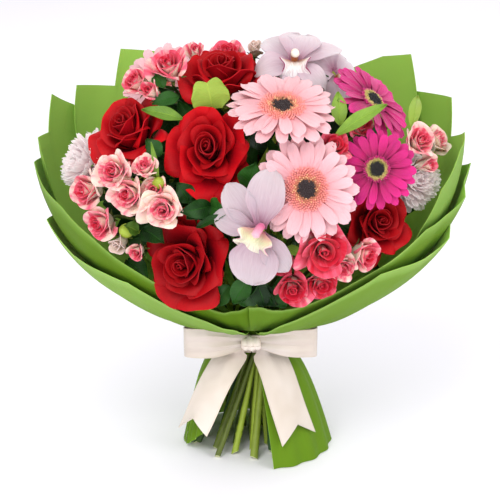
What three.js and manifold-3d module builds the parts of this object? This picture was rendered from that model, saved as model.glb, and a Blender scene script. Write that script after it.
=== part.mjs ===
// A hand-tied mixed bouquet standing on its splayed cut stems: roses, gerberas, orchids, spray roses,
// chrysanthemums and foliage in a wrap of paper sheets, tied at the waist with a satin bow.
// Millimetres, +Z up, front towards -Y.
import * as THREE from "three";
import { ConvexGeometry } from "three/addons/geometries/ConvexGeometry.js";
import { mergeVertices } from "three/addons/utils/BufferGeometryUtils.js";
import Module from "manifold-3d";

const wasm = await Module();
wasm.setup();

// Driving dimensions of the bundle
const TIE_HEIGHT = 118;
const TURN_BELOW = 0.0284;
const TURN_ABOVE = 0.085;
const TURN_EASE = 40;
const STEM_SIDES = 5;
const STEM_GAP = 0.5;
const BUNDLE_PASSES = 420;
const TIE_THICKNESS = 1.6;
const TIE_WIDTH = 8;
const CLEARANCE = 0.35;
const PETAL = 0.8;
const GRAZE = 4;

// The flower dome, and the front view that the places of the blooms are measured in
const DOME_CENTRE = new THREE.Vector3(0, 0, 263);
const DOME_RADII = new THREE.Vector3(184, 140, 150);
const VIEW_TILT = THREE.MathUtils.degToRad(18);
const VIEW_DISTANCE = 2000;
const VIEW_CENTRE = new THREE.Vector3(-2, 0, 201);

// The wrap: a bowl above the waist, a short neck under the ribbon and a skirt below it
const PAPER = 0.8;
const WAIST_RADIUS = 26.5;
const NECK_TOP = 127;
const NECK_BOTTOM = 104;
const NECK_CLOSE = 0.2;
const NECK_SHARE = 0.1;
const BOWL_DEPTH = 0.76;
const BOWL = new THREE.CubicBezierCurve(
  new THREE.Vector2(WAIST_RADIUS, NECK_TOP),
  new THREE.Vector2(105, 146),
  new THREE.Vector2(240, 196),
  new THREE.Vector2(206, 380),
);
const SKIRT = new THREE.CubicBezierCurve(
  new THREE.Vector2(WAIST_RADIUS, NECK_BOTTOM),
  new THREE.Vector2(44, 95),
  new THREE.Vector2(60, 56),
  new THREE.Vector2(76, 0.4),
);

// The ribbon
const RIBBON_WIDTH = 38;
const RIBBON_THICKNESS = 1;
const BAND_HEIGHT = 20;
const TAIL_LIFT = 9;

const COLOURS = {
  roseRed: 0xb00018,
  palePink: 0xf7c4cb,
  coral: 0xee8f84,
  magenta: 0xd42586,
  disc: 0x2b1a1c,
  orchid: 0xe2cfd8,
  lip: 0xefe6cf,
  sprayPink: 0xee7684,
  chrysanthemum: 0xf6e3e6,
  stem: 0x93a637,
  leaf: 0x35682c,
  limeLeaf: 0xb7cb62,
  paper: 0x86b44e,
  ribbon: 0xf2e9d9,
  tie: 0x8d9a55,
};

const UP = new THREE.Vector3(0, 0, 1);
const smooth = (x) => THREE.MathUtils.smoothstep(x, 0, 1);
const mix = THREE.MathUtils.lerp;
const radians = THREE.MathUtils.degToRad;
const vector = (x, y, z) => new THREE.Vector3(x, y, z);

// Solids

function solidOf(positions, index) {
  const geometry = new THREE.BufferGeometry();
  geometry.setAttribute("position", new THREE.Float32BufferAttribute(positions, 3));
  geometry.setIndex(index);
  return solidFrom(geometry);
}

function solidFrom(source) {
  const geometry = source.clone();
  geometry.deleteAttribute("normal");
  geometry.deleteAttribute("uv");
  const merged = mergeVertices(geometry, 1e-3);
  return new wasm.Manifold(
    new wasm.Mesh({
      numProp: 3,
      vertProperties: Float32Array.from(merged.attributes.position.array),
      triVerts: Uint32Array.from(merged.index.array),
    }),
  );
}

// A thin closed solid about the mid-surface that surface(across -1..1, along 0..1) gives.
function blade(surface, columns, rows, thickness) {
  const grid = [];
  for (let j = 0; j <= rows; j++)
    for (let i = 0; i <= columns; i++) grid.push(surface(-1 + (2 * i) / columns, j / rows));
  const id = (i, j) => j * (columns + 1) + i;
  const at = (i, j) =>
    grid[id(Math.min(Math.max(i, 0), columns), Math.min(Math.max(j, 0), rows))];
  const positions = [[], []];
  for (let j = 0; j <= rows; j++)
    for (let i = 0; i <= columns; i++) {
      const across = at(i + 1, j).clone().sub(at(i - 1, j));
      const along = at(i, j + 1).clone().sub(at(i, j - 1));
      const normal = across.cross(along).normalize().multiplyScalar(thickness / 2);
      positions[0].push(...at(i, j).clone().add(normal).toArray());
      positions[1].push(...at(i, j).clone().sub(normal).toArray());
    }
  const back = (columns + 1) * (rows + 1);
  const index = [];
  const quad = (a, b, c, d) => index.push(a, b, c, a, c, d);
  for (let j = 0; j < rows; j++)
    for (let i = 0; i < columns; i++) {
      const corners = [id(i, j), id(i + 1, j), id(i + 1, j + 1), id(i, j + 1)];
      const turned = i < columns / 2 ? corners : [...corners.slice(1), corners[0]];
      quad(...turned);
      const [a, b, c, d] = turned.map((n) => n + back);
      index.push(a, c, b, a, d, c);
    }
  for (let i = 0; i < columns; i++) {
    quad(id(i + 1, 0), id(i, 0), id(i, 0) + back, id(i + 1, 0) + back);
    quad(id(i, rows), id(i + 1, rows), id(i + 1, rows) + back, id(i, rows) + back);
  }
  for (let j = 0; j < rows; j++) {
    quad(id(0, j), id(0, j + 1), id(0, j + 1) + back, id(0, j) + back);
    quad(id(columns, j + 1), id(columns, j), id(columns, j) + back, id(columns, j + 1) + back);
  }
  return solidOf([...positions[0], ...positions[1]], index);
}

// A ring of thin petals on one hub, as one closed solid: surface(n, across, along) for each petal n, its
// root at along = 0. The petals may lap over each other, but don't cross.
function petalWheel(count, columns, rows, thickness, hubTop, hubBottom, surface) {
  const positions = [];
  const index = [];
  const quad = (a, b, c, d) => index.push(a, b, c, a, c, d);
  const perPetal = (columns + 1) * (rows + 1);
  for (let n = 0; n < count; n++) {
    const at = (i, j) => {
      const u = -1 + (2 * Math.min(Math.max(i, 0), columns)) / columns;
      return surface(n, u, Math.min(Math.max(j, 0), rows) / rows);
    };
    for (let j = 0; j <= rows; j++)
      for (let i = 0; i <= columns; i++) {
        const across = at(i + 1, j).sub(at(i - 1, j));
        const along = at(i, j + 1).sub(at(i, j - 1));
        const normal = along.cross(across).normalize().multiplyScalar(thickness / 2);
        positions.push(...at(i, j).add(normal).toArray(), ...at(i, j).sub(normal).toArray());
      }
  }
  const id = (n, i, j, face) => 2 * (n * perPetal + j * (columns + 1) + i) + face;
  const [top, bottom] = [positions.length / 3, positions.length / 3 + 1];
  positions.push(0, 0, hubTop, 0, 0, hubBottom);
  for (let n = 0; n < count; n++) {
    const next = (n + 1) % count;
    for (let j = 0; j < rows; j++) {
      for (let i = 0; i < columns; i++) {
        const corners = [[i, j], [i, j + 1], [i + 1, j + 1], [i + 1, j]];
        if (i < columns / 2) corners.push(corners.shift());
        const [a, b, c, d] = corners.map(([x, y]) => id(n, x, y, 0));
        const [e, f, g, h] = corners.map(([x, y]) => id(n, x, y, 1));
        quad(a, b, c, d);
        index.push(e, g, f, e, h, g);
      }
      quad(id(n, 0, j, 0), id(n, 0, j, 1), id(n, 0, j + 1, 1), id(n, 0, j + 1, 0));
      quad(id(n, columns, j, 1), id(n, columns, j, 0), id(n, columns, j + 1, 0), id(n, columns, j + 1, 1));
    }
    for (let i = 0; i < columns; i++) {
      quad(id(n, i, rows, 0), id(n, i, rows, 1), id(n, i + 1, rows, 1), id(n, i + 1, rows, 0));
      index.push(top, id(n, i, 0, 0), id(n, i + 1, 0, 0));
      index.push(bottom, id(n, i + 1, 0, 1), id(n, i, 0, 1));
    }
    index.push(top, id(n, columns, 0, 0), id(next, 0, 0, 0));
    index.push(bottom, id(next, 0, 0, 1), id(n, columns, 0, 1));
    quad(id(n, columns, 0, 0), id(n, columns, 0, 1), id(next, 0, 0, 1), id(next, 0, 0, 0));
  }
  return solidOf(positions, index);
}

// A closed tube through points, with a radius at each; footOnGround flattens the first ring to z = 0.
function loft(points, radii, sides, footOnGround = false) {
  const last = points.length - 1;
  const tangents = points.map((_, k) =>
    points[Math.min(k + 1, last)].clone().sub(points[Math.max(k - 1, 0)]).normalize(),
  );
  let side = vector(1, 0, 0);
  if (Math.abs(tangents[0].dot(side)) > 0.9) side = vector(0, 1, 0);
  const positions = [];
  points.forEach((point, k) => {
    side = side.clone().addScaledVector(tangents[k], -side.dot(tangents[k])).normalize();
    const other = tangents[k].clone().cross(side);
    for (let n = 0; n < sides; n++) {
      const angle = (2 * Math.PI * n) / sides;
      const corner = point
        .clone()
        .addScaledVector(side, radii[k] * Math.cos(angle))
        .addScaledVector(other, radii[k] * Math.sin(angle));
      if (k === 0 && footOnGround) corner.addScaledVector(tangents[0], -corner.z / tangents[0].z);
      positions.push(...corner.toArray());
    }
  });
  const index = [];
  for (let k = 0; k < last; k++)
    for (let n = 0; n < sides; n++) {
      const a = k * sides + n;
      const b = k * sides + ((n + 1) % sides);
      index.push(a, b, b + sides, a, b + sides, a + sides);
    }
  for (let n = 1; n < sides - 1; n++) {
    index.push(0, n + 1, n);
    index.push(last * sides, last * sides + n, last * sides + n + 1);
  }
  return solidOf(positions, index);
}

function turnedSolid(profile, sides) {
  const lathe = new THREE.LatheGeometry(profile.map(([r, z]) => new THREE.Vector2(r, z)), sides);
  lathe.rotateX(Math.PI / 2);
  return solidFrom(lathe);
}

const fuse = (solids) => wasm.Manifold.union(solids);

// The part that stays in one piece when loose scraps are dropped.
function largestPiece(solid) {
  const pieces = solid.decompose();
  return pieces.reduce((best, piece) => (piece.volume() > best.volume() ? piece : best));
}

// Places

// The point of the dome that shows at a place in the front view, then deep further along the line of
// sight; far picks the side of the dome turned away.
function onDome(across, rise, deep = 0, far = false) {
  const forward = vector(0, Math.cos(VIEW_TILT), -Math.sin(VIEW_TILT));
  const above = vector(0, Math.sin(VIEW_TILT), Math.cos(VIEW_TILT));
  const eye = VIEW_CENTRE.clone().addScaledVector(forward, -VIEW_DISTANCE);
  const through = VIEW_CENTRE.clone().addScaledVector(above, rise);
  through.x += across;
  const start = eye.clone().sub(DOME_CENTRE).divide(DOME_RADII);
  const ray = through.sub(eye).normalize();
  const step = ray.clone().divide(DOME_RADII);
  const a = step.lengthSq();
  const b = start.dot(step);
  const inside = b * b - a * (start.lengthSq() - 1);
  const reach = (-b + (far ? 1 : -1) * Math.sqrt(Math.max(inside, 0))) / a;
  return eye.addScaledVector(ray, reach + deep);
}

// A direction: yaw to the right of the front, pitch above level.
function facing(yaw, pitch) {
  const level = Math.cos(radians(pitch));
  return vector(
    level * Math.sin(radians(yaw)),
    -level * Math.cos(radians(yaw)),
    Math.sin(radians(pitch)),
  );
}

// The placement that turns a bloom's own +Z to its axis, with its own +Y kept upwards.
function placement(origin, axis, roll = 0) {
  const right = vector(-axis.y, axis.x, 0);
  if (right.lengthSq() < 1e-4) right.set(1, 0, 0);
  right.normalize();
  const top = axis.clone().cross(right);
  const turned = new THREE.Matrix4().makeBasis(right, top, axis);
  turned.multiply(new THREE.Matrix4().makeRotationZ(radians(roll)));
  return turned.setPosition(origin);
}

const placed = (solid, matrix) => solid.transform(matrix.elements);

// Rose blooms: a budded heart with lobed tiers, and two whorls of petals, each petal's one edge under
// its neighbour and its other edge over it

const ROSE_WHORLS = [
  { count: 3, length: 46, halfWidth: 25, footHeight: 6, footLean: 32, upperLean: 4, curl: 46 },
  { count: 5, length: 46, halfWidth: 27, footHeight: 2, footLean: 58, upperLean: 33, curl: 58 },
];
const ROSE_ROOT = 8;

function rosePetal(scale, whorl, angle, u, v) {
  const { count, length, halfWidth, footHeight, footLean, upperLean, curl } = whorl;
  const reach = v * (1 - 0.2 * Math.abs(u) ** 2.4);
  let radius = ROSE_ROOT;
  let height = footHeight;
  const steps = 10;
  for (let k = 0; k < steps; k++) {
    const t = ((k + 0.5) / steps) * reach;
    const rim = Math.max(0, (t - 0.66) / 0.34) ** 2 * (0.4 + 0.6 * u * u);
    const slope = radians(footLean * (1 - t) ** 1.6 + upperLean + curl * rim);
    radius += (Math.sin(slope) * reach * length) / steps;
    height += (Math.cos(slope) * reach * length) / steps;
  }
  const root = (Math.PI / count) * 0.86;
  const grown = Math.sin((Math.PI / 2) * Math.min(1, v / 0.72));
  const round = angle + u * mix(root, halfWidth / radius, grown);
  const out = radius * (1 + 0.12 * u * Math.min(1, 3 * v)) * scale;
  return vector(out * Math.cos(round), out * Math.sin(round), height * scale);
}

// Tiers of a budded heart: rim radius, rim height and groove height, in a bloom 86 wide.
const HEART_TIERS = [
  [13, 40, 31],
  [7, 44, 37],
];

// A closed solid of revolution whose tiers of rims are scalloped into lobes.
function lobedHeart(scale, foot, tiers, lobes) {
  const sides = lobes * 2;
  const rings = foot.map(([radius, height]) => ({ radius, height, lobe: 0 }));
  tiers.forEach(([radius, rim, groove], tier) => {
    const turn = tier % 2 ? -1 : 1;
    rings.push({ radius, height: rim, lobe: 0.09 * turn });
    rings.push({ radius: radius * 0.78, height: groove, lobe: 0.05 * turn });
  });
  const positions = [0, 0, 0];
  for (const { radius, height, lobe } of rings)
    for (let n = 0; n < sides; n++) {
      const angle = (2 * Math.PI * n) / sides;
      const wave = n % 2 ? 1 : -1;
      const out = radius * (1 + lobe * wave) * scale;
      const up = (height + radius * lobe * wave * 1.6) * scale;
      positions.push(out * Math.cos(angle), out * Math.sin(angle), up);
    }
  const top = positions.length / 3;
  positions.push(0, 0, (tiers.at(-1)[2] + 1) * scale);
  const index = [];
  const ringStart = (k) => 1 + k * sides;
  for (let n = 0; n < sides; n++) {
    const next = (n + 1) % sides;
    index.push(0, ringStart(0) + next, ringStart(0) + n);
    for (let k = 0; k < rings.length - 1; k++) {
      const [a, b] = [ringStart(k) + n, ringStart(k) + next];
      const [c, d] = [b + sides, a + sides];
      index.push(a, b, c, a, c, d);
    }
    index.push(ringStart(rings.length - 1) + n, ringStart(rings.length - 1) + next, top);
  }
  return solidOf(positions, index);
}

function roseBloom(bloom) {
  const scale = bloom.width / 86;
  const solids = [lobedHeart(scale, [[5, 0.5], [7, 13]], HEART_TIERS, 4)];
  ROSE_WHORLS.forEach((whorl, ring) => {
    const { count, footHeight } = whorl;
    const surface = (n, u, v) =>
      rosePetal(scale, whorl, radians(bloom.turn + 25 * ring + (360 * n) / count), u, v);
    const hub = footHeight * scale;
    solids.push(petalWheel(count, 2, 3, PETAL, hub + 0.5, hub - 0.5, surface));
  });
  return fuse(solids);
}

// Gerbera blooms: long low and short high ray petals in turn round a hub, and a disc with a raised collar

const GERBERA_RAYS = 20;

function rayPetal(angle, inner, outer, halfWidth, rise, droop, u, v) {
  const taper = 0.62 + 0.38 * Math.sin(Math.PI * Math.min(1, 0.12 + v * 0.75)) - 0.4 * v ** 4;
  const radius = mix(inner, outer * (1 - 0.03 * u * u), v);
  const height = rise + droop * v * v + 1.2 * u * u * v;
  const side = u * halfWidth * taper;
  return vector(
    radius * Math.cos(angle) - side * Math.sin(angle),
    radius * Math.sin(angle) + side * Math.cos(angle),
    height,
  );
}

function gerberaRays(bloom) {
  const reach = bloom.width / 2;
  const hub = reach * 0.36;
  const halfWidth = (reach * 0.92 * Math.PI) / GERBERA_RAYS;
  return petalWheel(GERBERA_RAYS, 1, 2, PETAL, 6.4, 0, (n, u, v) => {
    const angle = (2 * Math.PI * n) / GERBERA_RAYS;
    const upper = n % 2;
    const outer = reach * (upper ? 0.84 : 1);
    const root = Math.min(halfWidth, mix(hub * 0.15, halfWidth * 1.25, v));
    return rayPetal(angle, hub, outer, root, 5.8, upper ? -2 : -8, u, v);
  });
}

function gerberaDisc(bloom) {
  const collar = bloom.width * 0.215;
  const floor = 6.7;
  return turnedSolid(
    [
      [0, floor],
      [collar * 0.8, floor],
      [collar, floor + 2.6],
      [collar * 0.86, floor + 4.2],
      [collar * 0.6, floor + 3.2],
      [0, floor + 5],
    ],
    10,
  );
}

// Orchid blooms: five tepals round a column, and a three-lobed ruffled lip

function tepal(angle, length, halfWidth, lift, arch, u, v) {
  const outline = Math.max(Math.sin(Math.PI * (0.06 + 0.88 * v ** 0.85)), 0) ** 0.75;
  const side = u * Math.min(halfWidth * outline, 2.6 + 40 * v);
  const radius = ORCHID_ROOT + (length - ORCHID_ROOT) * v;
  const height = lift * v + arch * Math.sin(Math.PI * v) - 3.5 * u * u * outline * Math.min(1, 4 * v);
  return vector(
    radius * Math.cos(angle) - side * Math.sin(angle),
    radius * Math.sin(angle) + side * Math.cos(angle),
    8 + height,
  );
}

const ORCHID_ROOT = 6;
const TEPALS = [
  { angle: 20, length: 0.96, width: 0.24, lift: 3, arch: 4 },
  { angle: 90, length: 1, width: 0.26, lift: 6, arch: 6 },
  { angle: 160, length: 0.96, width: 0.24, lift: 3, arch: 4 },
  { angle: 225, length: 0.88, width: 0.22, lift: -5, arch: 5 },
  { angle: 315, length: 0.88, width: 0.22, lift: -5, arch: 5 },
];

function orchidTepals(bloom) {
  const reach = bloom.width / 2;
  const stalk = turnedSolid([[0, -1], [3, -1], [4.6, 8.2], [0, 10]], 6);
  const wheel = petalWheel(TEPALS.length, 2, 3, PETAL, 8.5, 7.4, (n, u, v) => {
    const { angle, length, width, lift, arch } = TEPALS[n];
    return tepal(radians(angle), reach * length, reach * 2 * width, lift, arch, u, v);
  });
  return fuse([stalk, wheel]);
}

function orchidLip(bloom) {
  const reach = bloom.width / 2;
  const column = loft(
    [vector(0, 1, 10.1), vector(0, 3, 18.7), vector(0, 0, 25.7), vector(0, -4, 28.2)],
    [3.4, 3.2, 3.4, 2.2],
    6,
  );
  const trough = blade(
    (u, v) => {
      const width = reach * (0.2 + 0.2 * Math.sin(Math.PI * Math.min(1, v * 1.15)));
      const frill = 2.2 * Math.sin(9 * v + 4 * u) * v * Math.abs(u);
      return vector(
        u * width,
        1 - reach * 0.52 * v,
        11.2 + 9 * v * (1 - v) * 2 + 10 * u * u * (1 - 0.55 * v) + frill,
      );
    },
    2,
    3,
    1,
  );
  return fuse([column, trough]);
}

// Chrysanthemum blooms: short blunt petals in tiers round a low dome

function chrysanthemumBloom(bloom) {
  const reach = bloom.width / 2;
  const core = reach * 0.42;
  const solids = [turnedSolid([[0, 0], [core * 0.6, 0], [core, 9], [core * 0.6, 17], [0, 18]], 7)];
  const tiers = [
    { count: 9, from: 4, tilt: 10, length: 1 },
    { count: 6, from: 11, tilt: 42, length: 0.8 },
  ];
  tiers.forEach(({ count, from, tilt, length }, tier) => {
    const slope = radians(tilt);
    solids.push(
      petalWheel(count, 1, 1, PETAL, from + 0.5, from - 0.5, (n, u, v) => {
        const angle = (2 * Math.PI * (n + 0.37 * tier)) / count;
        const radius = core * 0.6 + reach * 0.8 * length * v * Math.cos(slope);
        const side = u * reach * mix(0.1, 0.2, v);
        return vector(
          radius * Math.cos(angle) - side * Math.sin(angle),
          radius * Math.sin(angle) + side * Math.cos(angle),
          from + reach * length * v * Math.sin(slope),
        );
      }),
    );
  });
  return fuse(solids);
}

// Stems: a spiral bundle, each stem straight below the tie and bent to its bloom above it

function turning(height) {
  const above = height - TIE_HEIGHT;
  if (above < 0) return TURN_BELOW * above;
  const eased = Math.min(above, TURN_EASE);
  const gain = TURN_ABOVE - TURN_BELOW;
  return TURN_BELOW * above + gain * (eased ** 2 / (2 * TURN_EASE) + Math.max(0, above - TURN_EASE));
}

// Complex product (1 + i g) p, and its inverse.
const spread = (p, g) => new THREE.Vector2(p.x - g * p.y, p.y + g * p.x);
const gather = (p, g) => new THREE.Vector2(p.x + g * p.y, p.y - g * p.x).divideScalar(1 + g * g);

const bundle = [];

function joinBundle(stem) {
  const g = turning(stem.neck.z);
  stem.wish = gather(new THREE.Vector2(stem.neck.x, stem.neck.y), g);
  stem.waist = stem.wish.clone();
  bundle.push(stem);
  return stem;
}

function packBundle() {
  for (let pass = 0; pass < BUNDLE_PASSES; pass++) {
    const pull = pass < BUNDLE_PASSES - 90 ? 0.985 : 1;
    bundle.forEach((stem) => stem.waist.multiplyScalar(pull));
    bundle.forEach((one, k) =>
      bundle.slice(k + 1).forEach((other) => {
        const away = other.waist.clone().sub(one.waist);
        const need = (one.radius + other.radius) * 1.06 + STEM_GAP;
        const short = need - away.length();
        if (short <= 0) return;
        away.setLength(short / 2 + 1e-3);
        other.waist.add(away);
        one.waist.sub(away);
      }),
    );
  }
}

function stemCurve(stem) {
  const points = [];
  const neck = stem.neck.z;
  const heights = [0, TIE_HEIGHT * 0.5, TIE_HEIGHT];
  for (const f of [0.3, 0.6]) heights.push(mix(TIE_HEIGHT, neck, f));
  for (const z of heights) {
    const f = smooth((z - TIE_HEIGHT) / (neck - TIE_HEIGHT));
    const p = spread(stem.waist.clone().lerp(stem.wish, f), turning(z));
    points.push(vector(p.x, p.y, z));
  }
  points.push(stem.neck.clone());
  if (stem.end) points.push(stem.end.clone());
  return points;
}

function stemSolid(stem, extra) {
  const points = stemCurve(stem);
  const curve = new THREE.CatmullRomCurve3(points.slice(2), false, "centripetal");
  const route = [points[0], ...curve.getPoints(4)];
  return loft(route, route.map(() => stem.radius + extra), STEM_SIDES, true);
}

// Assembly

const bouquet = new THREE.Group();
const solids = new Map();

// keepOut is the room that lower ranks leave free round a node, and rank says who gives way: the higher.
function add(name, solid, colour, rank, keepOut, roughness = 0.6) {
  solids.set(name, { solid, colour, rank, keepOut, roughness });
}

const RANK = { stem: 0, bloom: 1, spray: 2, leaf: 3, paper: 4 };

// A convex envelope of a solid, a little larger than it.
function envelope(solid) {
  const { vertProperties } = solid.getMesh();
  const points = [];
  const middle = new THREE.Vector3();
  for (let i = 0; i < vertProperties.length; i += 3)
    points.push(new THREE.Vector3().fromArray(vertProperties, i));
  points.forEach((point) => middle.addScaledVector(point, 1 / points.length));
  points.forEach((point) => {
    const away = point.clone().sub(middle);
    point.addScaledVector(away, CLEARANCE / Math.max(away.length(), 1));
  });
  return solidFrom(new ConvexGeometry(points));
}

// The solid swept a clearance to each side, for cuts between neighbours that only just touch.
function swollen(solid) {
  const shifts = [solid];
  for (const axis of [0, 1, 2])
    for (const side of [-1, 1]) {
      const shift = [0, 0, 0];
      shift[axis] = side * CLEARANCE;
      shifts.push(solid.translate(shift));
    }
  return fuse(shifts);
}

// Boxes about the places that two nodes share, for cuts where the paper only grazes its neighbour.
function hollows(shared) {
  return fuse(
    shared.decompose().map((piece) => {
      const { min, max } = piece.boundingBox();
      const sides = min.map((low, k) => max[k] - low + 2 * CLEARANCE);
      const box = new THREE.BoxGeometry(...sides);
      box.translate(...min.map((low, k) => (low + max[k]) / 2));
      return solidFrom(box);
    }),
  );
}

function meet(a, b) {
  const [one, other] = [a.boundingBox(), b.boundingBox()];
  return [0, 1, 2].every((k) => one.min[k] <= other.max[k] && other.min[k] <= one.max[k]);
}

// Nodes give way to those of lower rank, and to earlier ones of their own rank.
function cutOverlaps() {
  const order = [...solids.values()].sort((a, b) => a.rank - b.rank);
  order.forEach((node, k) => {
    for (const other of order.slice(0, k)) {
      if (!meet(node.solid, other.solid)) continue;
      const room = node.rank > other.rank && node.rank < RANK.paper ? other.keepOut : null;
      const cutter = room ?? other.solid;
      const shared = node.solid.intersect(cutter);
      if (shared.volume() < 4e-3) continue;
      const grazed = node.rank === RANK.paper && shared.volume() < GRAZE;
      node.solid = largestPiece(node.solid.subtract(grazed ? hollows(shared) : (room ?? swollen(other.solid))));
    }
  });
}

// A bloom's placement, with its stem joined to the bundle. The bloom's own origin is at its base.
function plant(flower, depth, stemRadius) {
  const axis = facing(flower.yaw, flower.pitch);
  const centre = onDome(flower.across, flower.rise, flower.deep ?? 0, flower.far);
  centre.addScaledVector(axis, -depth);
  const end = centre.clone().addScaledVector(axis, -CLEARANCE);
  const neck = end.clone().addScaledVector(axis, -24).addScaledVector(UP, -9);
  const stem = joinBundle({ neck, end, radius: stemRadius });
  return { matrix: placement(centre, axis, flower.roll), stem, centre, axis };
}

const ROSES = [
  { name: "red_rose_1", across: -44, rise: 94, yaw: -8, pitch: 26, width: 84, turn: 20 },
  { name: "red_rose_2", across: -62, rise: -15, yaw: -20, pitch: 8, width: 84, turn: 140 },
  { name: "red_rose_3", across: -126, rise: 116, yaw: -42, pitch: 44, width: 76, turn: 60 },
  { name: "red_rose_4", across: -28, rise: 174, yaw: -8, pitch: 70, width: 76, turn: 200, deep: 26 },
  { name: "red_rose_5", across: 131, rise: 27, yaw: 20, pitch: 22, width: 70, turn: 300, deep: 8 },
  { name: "red_rose_6", across: 20, rise: 110, yaw: 172, pitch: 34, width: 74, turn: 90, far: true, deep: -16 },
];

const GERBERAS = [
  { name: "pale_gerbera_1", across: 32, rise: 140, yaw: 4, pitch: 66, width: 100, pale: true, deep: -8 },
  { name: "pale_gerbera_2", across: 56, rise: 60, yaw: 5, pitch: 20, width: 98, pale: true, deep: -10 },
  { name: "pale_gerbera_3", across: -92, rise: 166, yaw: -35, pitch: 56, width: 80, pale: true, deep: 70 },
  { name: "magenta_gerbera_1", across: 118, rise: 146, yaw: 62, pitch: 47, width: 86 },
  { name: "magenta_gerbera_2", across: 125, rise: 80, yaw: 2, pitch: 22, width: 74, deep: -12 },
];

const ORCHIDS = [
  { name: "orchid_1", across: 44, rise: 182, yaw: 2, pitch: 52, width: 84, roll: 0, deep: 16 },
  { name: "orchid_2", across: 8, rise: 18, yaw: -8, pitch: 14, width: 100, roll: -24, deep: -22 },
  { name: "orchid_3", across: 82, rise: 176, yaw: 22, pitch: 60, width: 72, roll: 20, deep: 34 },
];

const CHRYSANTHEMUMS = [
  { name: "chrysanthemum_left", across: -165, rise: 84, yaw: -62, pitch: 22, width: 60, deep: 18 },
  { name: "chrysanthemum_right", across: 172, rise: 68, yaw: 58, pitch: 24, width: 56, deep: 30 },
];

// Each spray rose: across, rise, yaw, pitch, width, and how deep it lies behind the dome.
const SPRAYS = [
  {
    name: "spray_roses_left_upper",
    blooms: [
      [-129, 80, -40, 25, 33, -20],
      [-120, 51, -25, 10, 36, -14],
      [-98, 83, -10, 50, 26, -4],
      [-86, 36, -10, 5, 37, -10],
    ],
  },
  {
    name: "spray_roses_left_lower",
    blooms: [
      [-158, 54, -70, 10, 31, -6],
      [-145, 20, -60, 0, 29, -8],
      [-127, 1, -30, -5, 20, -2],
      [-111, -9, -35, 0, 18, 2],
    ],
  },
  {
    name: "spray_roses_top_left",
    blooms: [
      [-80, 179, -15, 55, 36, -12],
      [-113, 163, -50, 45, 30, -6],
      [-97, 151, -30, 35, 22, -4],
      [-55, 199, -5, 60, 22, 0],
    ],
  },
  {
    name: "spray_roses_top",
    blooms: [
      [-22, 200, 0, 65, 32, 30],
      [6, 203, 10, 60, 20, 30],
    ],
  },
  {
    name: "spray_roses_right",
    blooms: [
      [165, 111, 30, 35, 30, -10],
      [185, 105, 60, 30, 28, -4],
    ],
  },
  {
    name: "spray_roses_middle",
    blooms: [
      [109, 119, 20, 40, 24, 8],
      [83, 106, 0, 30, 26, 0],
    ],
  },
  {
    name: "spray_roses_lower_middle",
    blooms: [
      [74, 0, 8, 5, 42, -12],
      [43, -37, 0, -10, 33, -4],
      [70, -37, 10, -15, 31, -4],
      [31, -16, -5, 0, 25, 6],
    ],
  },
  {
    name: "spray_roses_lower_right",
    blooms: [
      [99, -22, 20, -10, 29, -10],
      [118, -17, 35, -5, 30, -14],
    ],
  },
  {
    name: "spray_roses_back",
    blooms: [
      [-70, 130, 200, 35, 34, -16, true],
      [-95, 90, 215, 20, 32, -16, true],
      [90, 120, 150, 30, 34, -16, true],
    ],
  },
];

const addBloom = (name, solid, colour) => add(name, solid, colour, RANK.bloom, envelope(solid));

function buildRoses() {
  for (const rose of ROSES) {
    const { matrix, stem } = plant(rose, rose.width * 0.52, 3.1);
    addBloom(rose.name, placed(roseBloom(rose), matrix), COLOURS.roseRed);
    stem.name = rose.name + "_stem";
  }
}

function buildGerberas() {
  for (const gerbera of GERBERAS) {
    const { matrix, stem } = plant(gerbera, 14, 2.8);
    const petals = gerbera.pale ? COLOURS.palePink : COLOURS.magenta;
    addBloom(gerbera.name + "_rays", placed(gerberaRays(gerbera), matrix), petals);
    const disc = gerbera.pale ? COLOURS.coral : COLOURS.disc;
    addBloom(gerbera.name + "_disc", placed(gerberaDisc(gerbera), matrix), disc);
    stem.name = gerbera.name + "_stem";
  }
}

function buildOrchids() {
  for (const orchid of ORCHIDS) {
    const { matrix, stem } = plant(orchid, 22, 2.5);
    stem.end.addScaledVector(facing(orchid.yaw, orchid.pitch), 3);
    stem.name = orchid.name;
    stem.fused = placed(orchidTepals(orchid), matrix);
    stem.colour = COLOURS.orchid;
    stem.rank = RANK.bloom;
    addBloom(orchid.name + "_lip", placed(orchidLip(orchid), matrix), COLOURS.lip);
  }
}

function buildChrysanthemums() {
  for (const flower of CHRYSANTHEMUMS) {
    const { matrix, stem } = plant(flower, 18, 2.3);
    stem.end.addScaledVector(facing(flower.yaw, flower.pitch), 3);
    stem.name = flower.name;
    stem.fused = placed(chrysanthemumBloom(flower), matrix);
    stem.colour = COLOURS.chrysanthemum;
    stem.rank = RANK.bloom;
  }
}

const BUD_WIDTH = 23;

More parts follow.
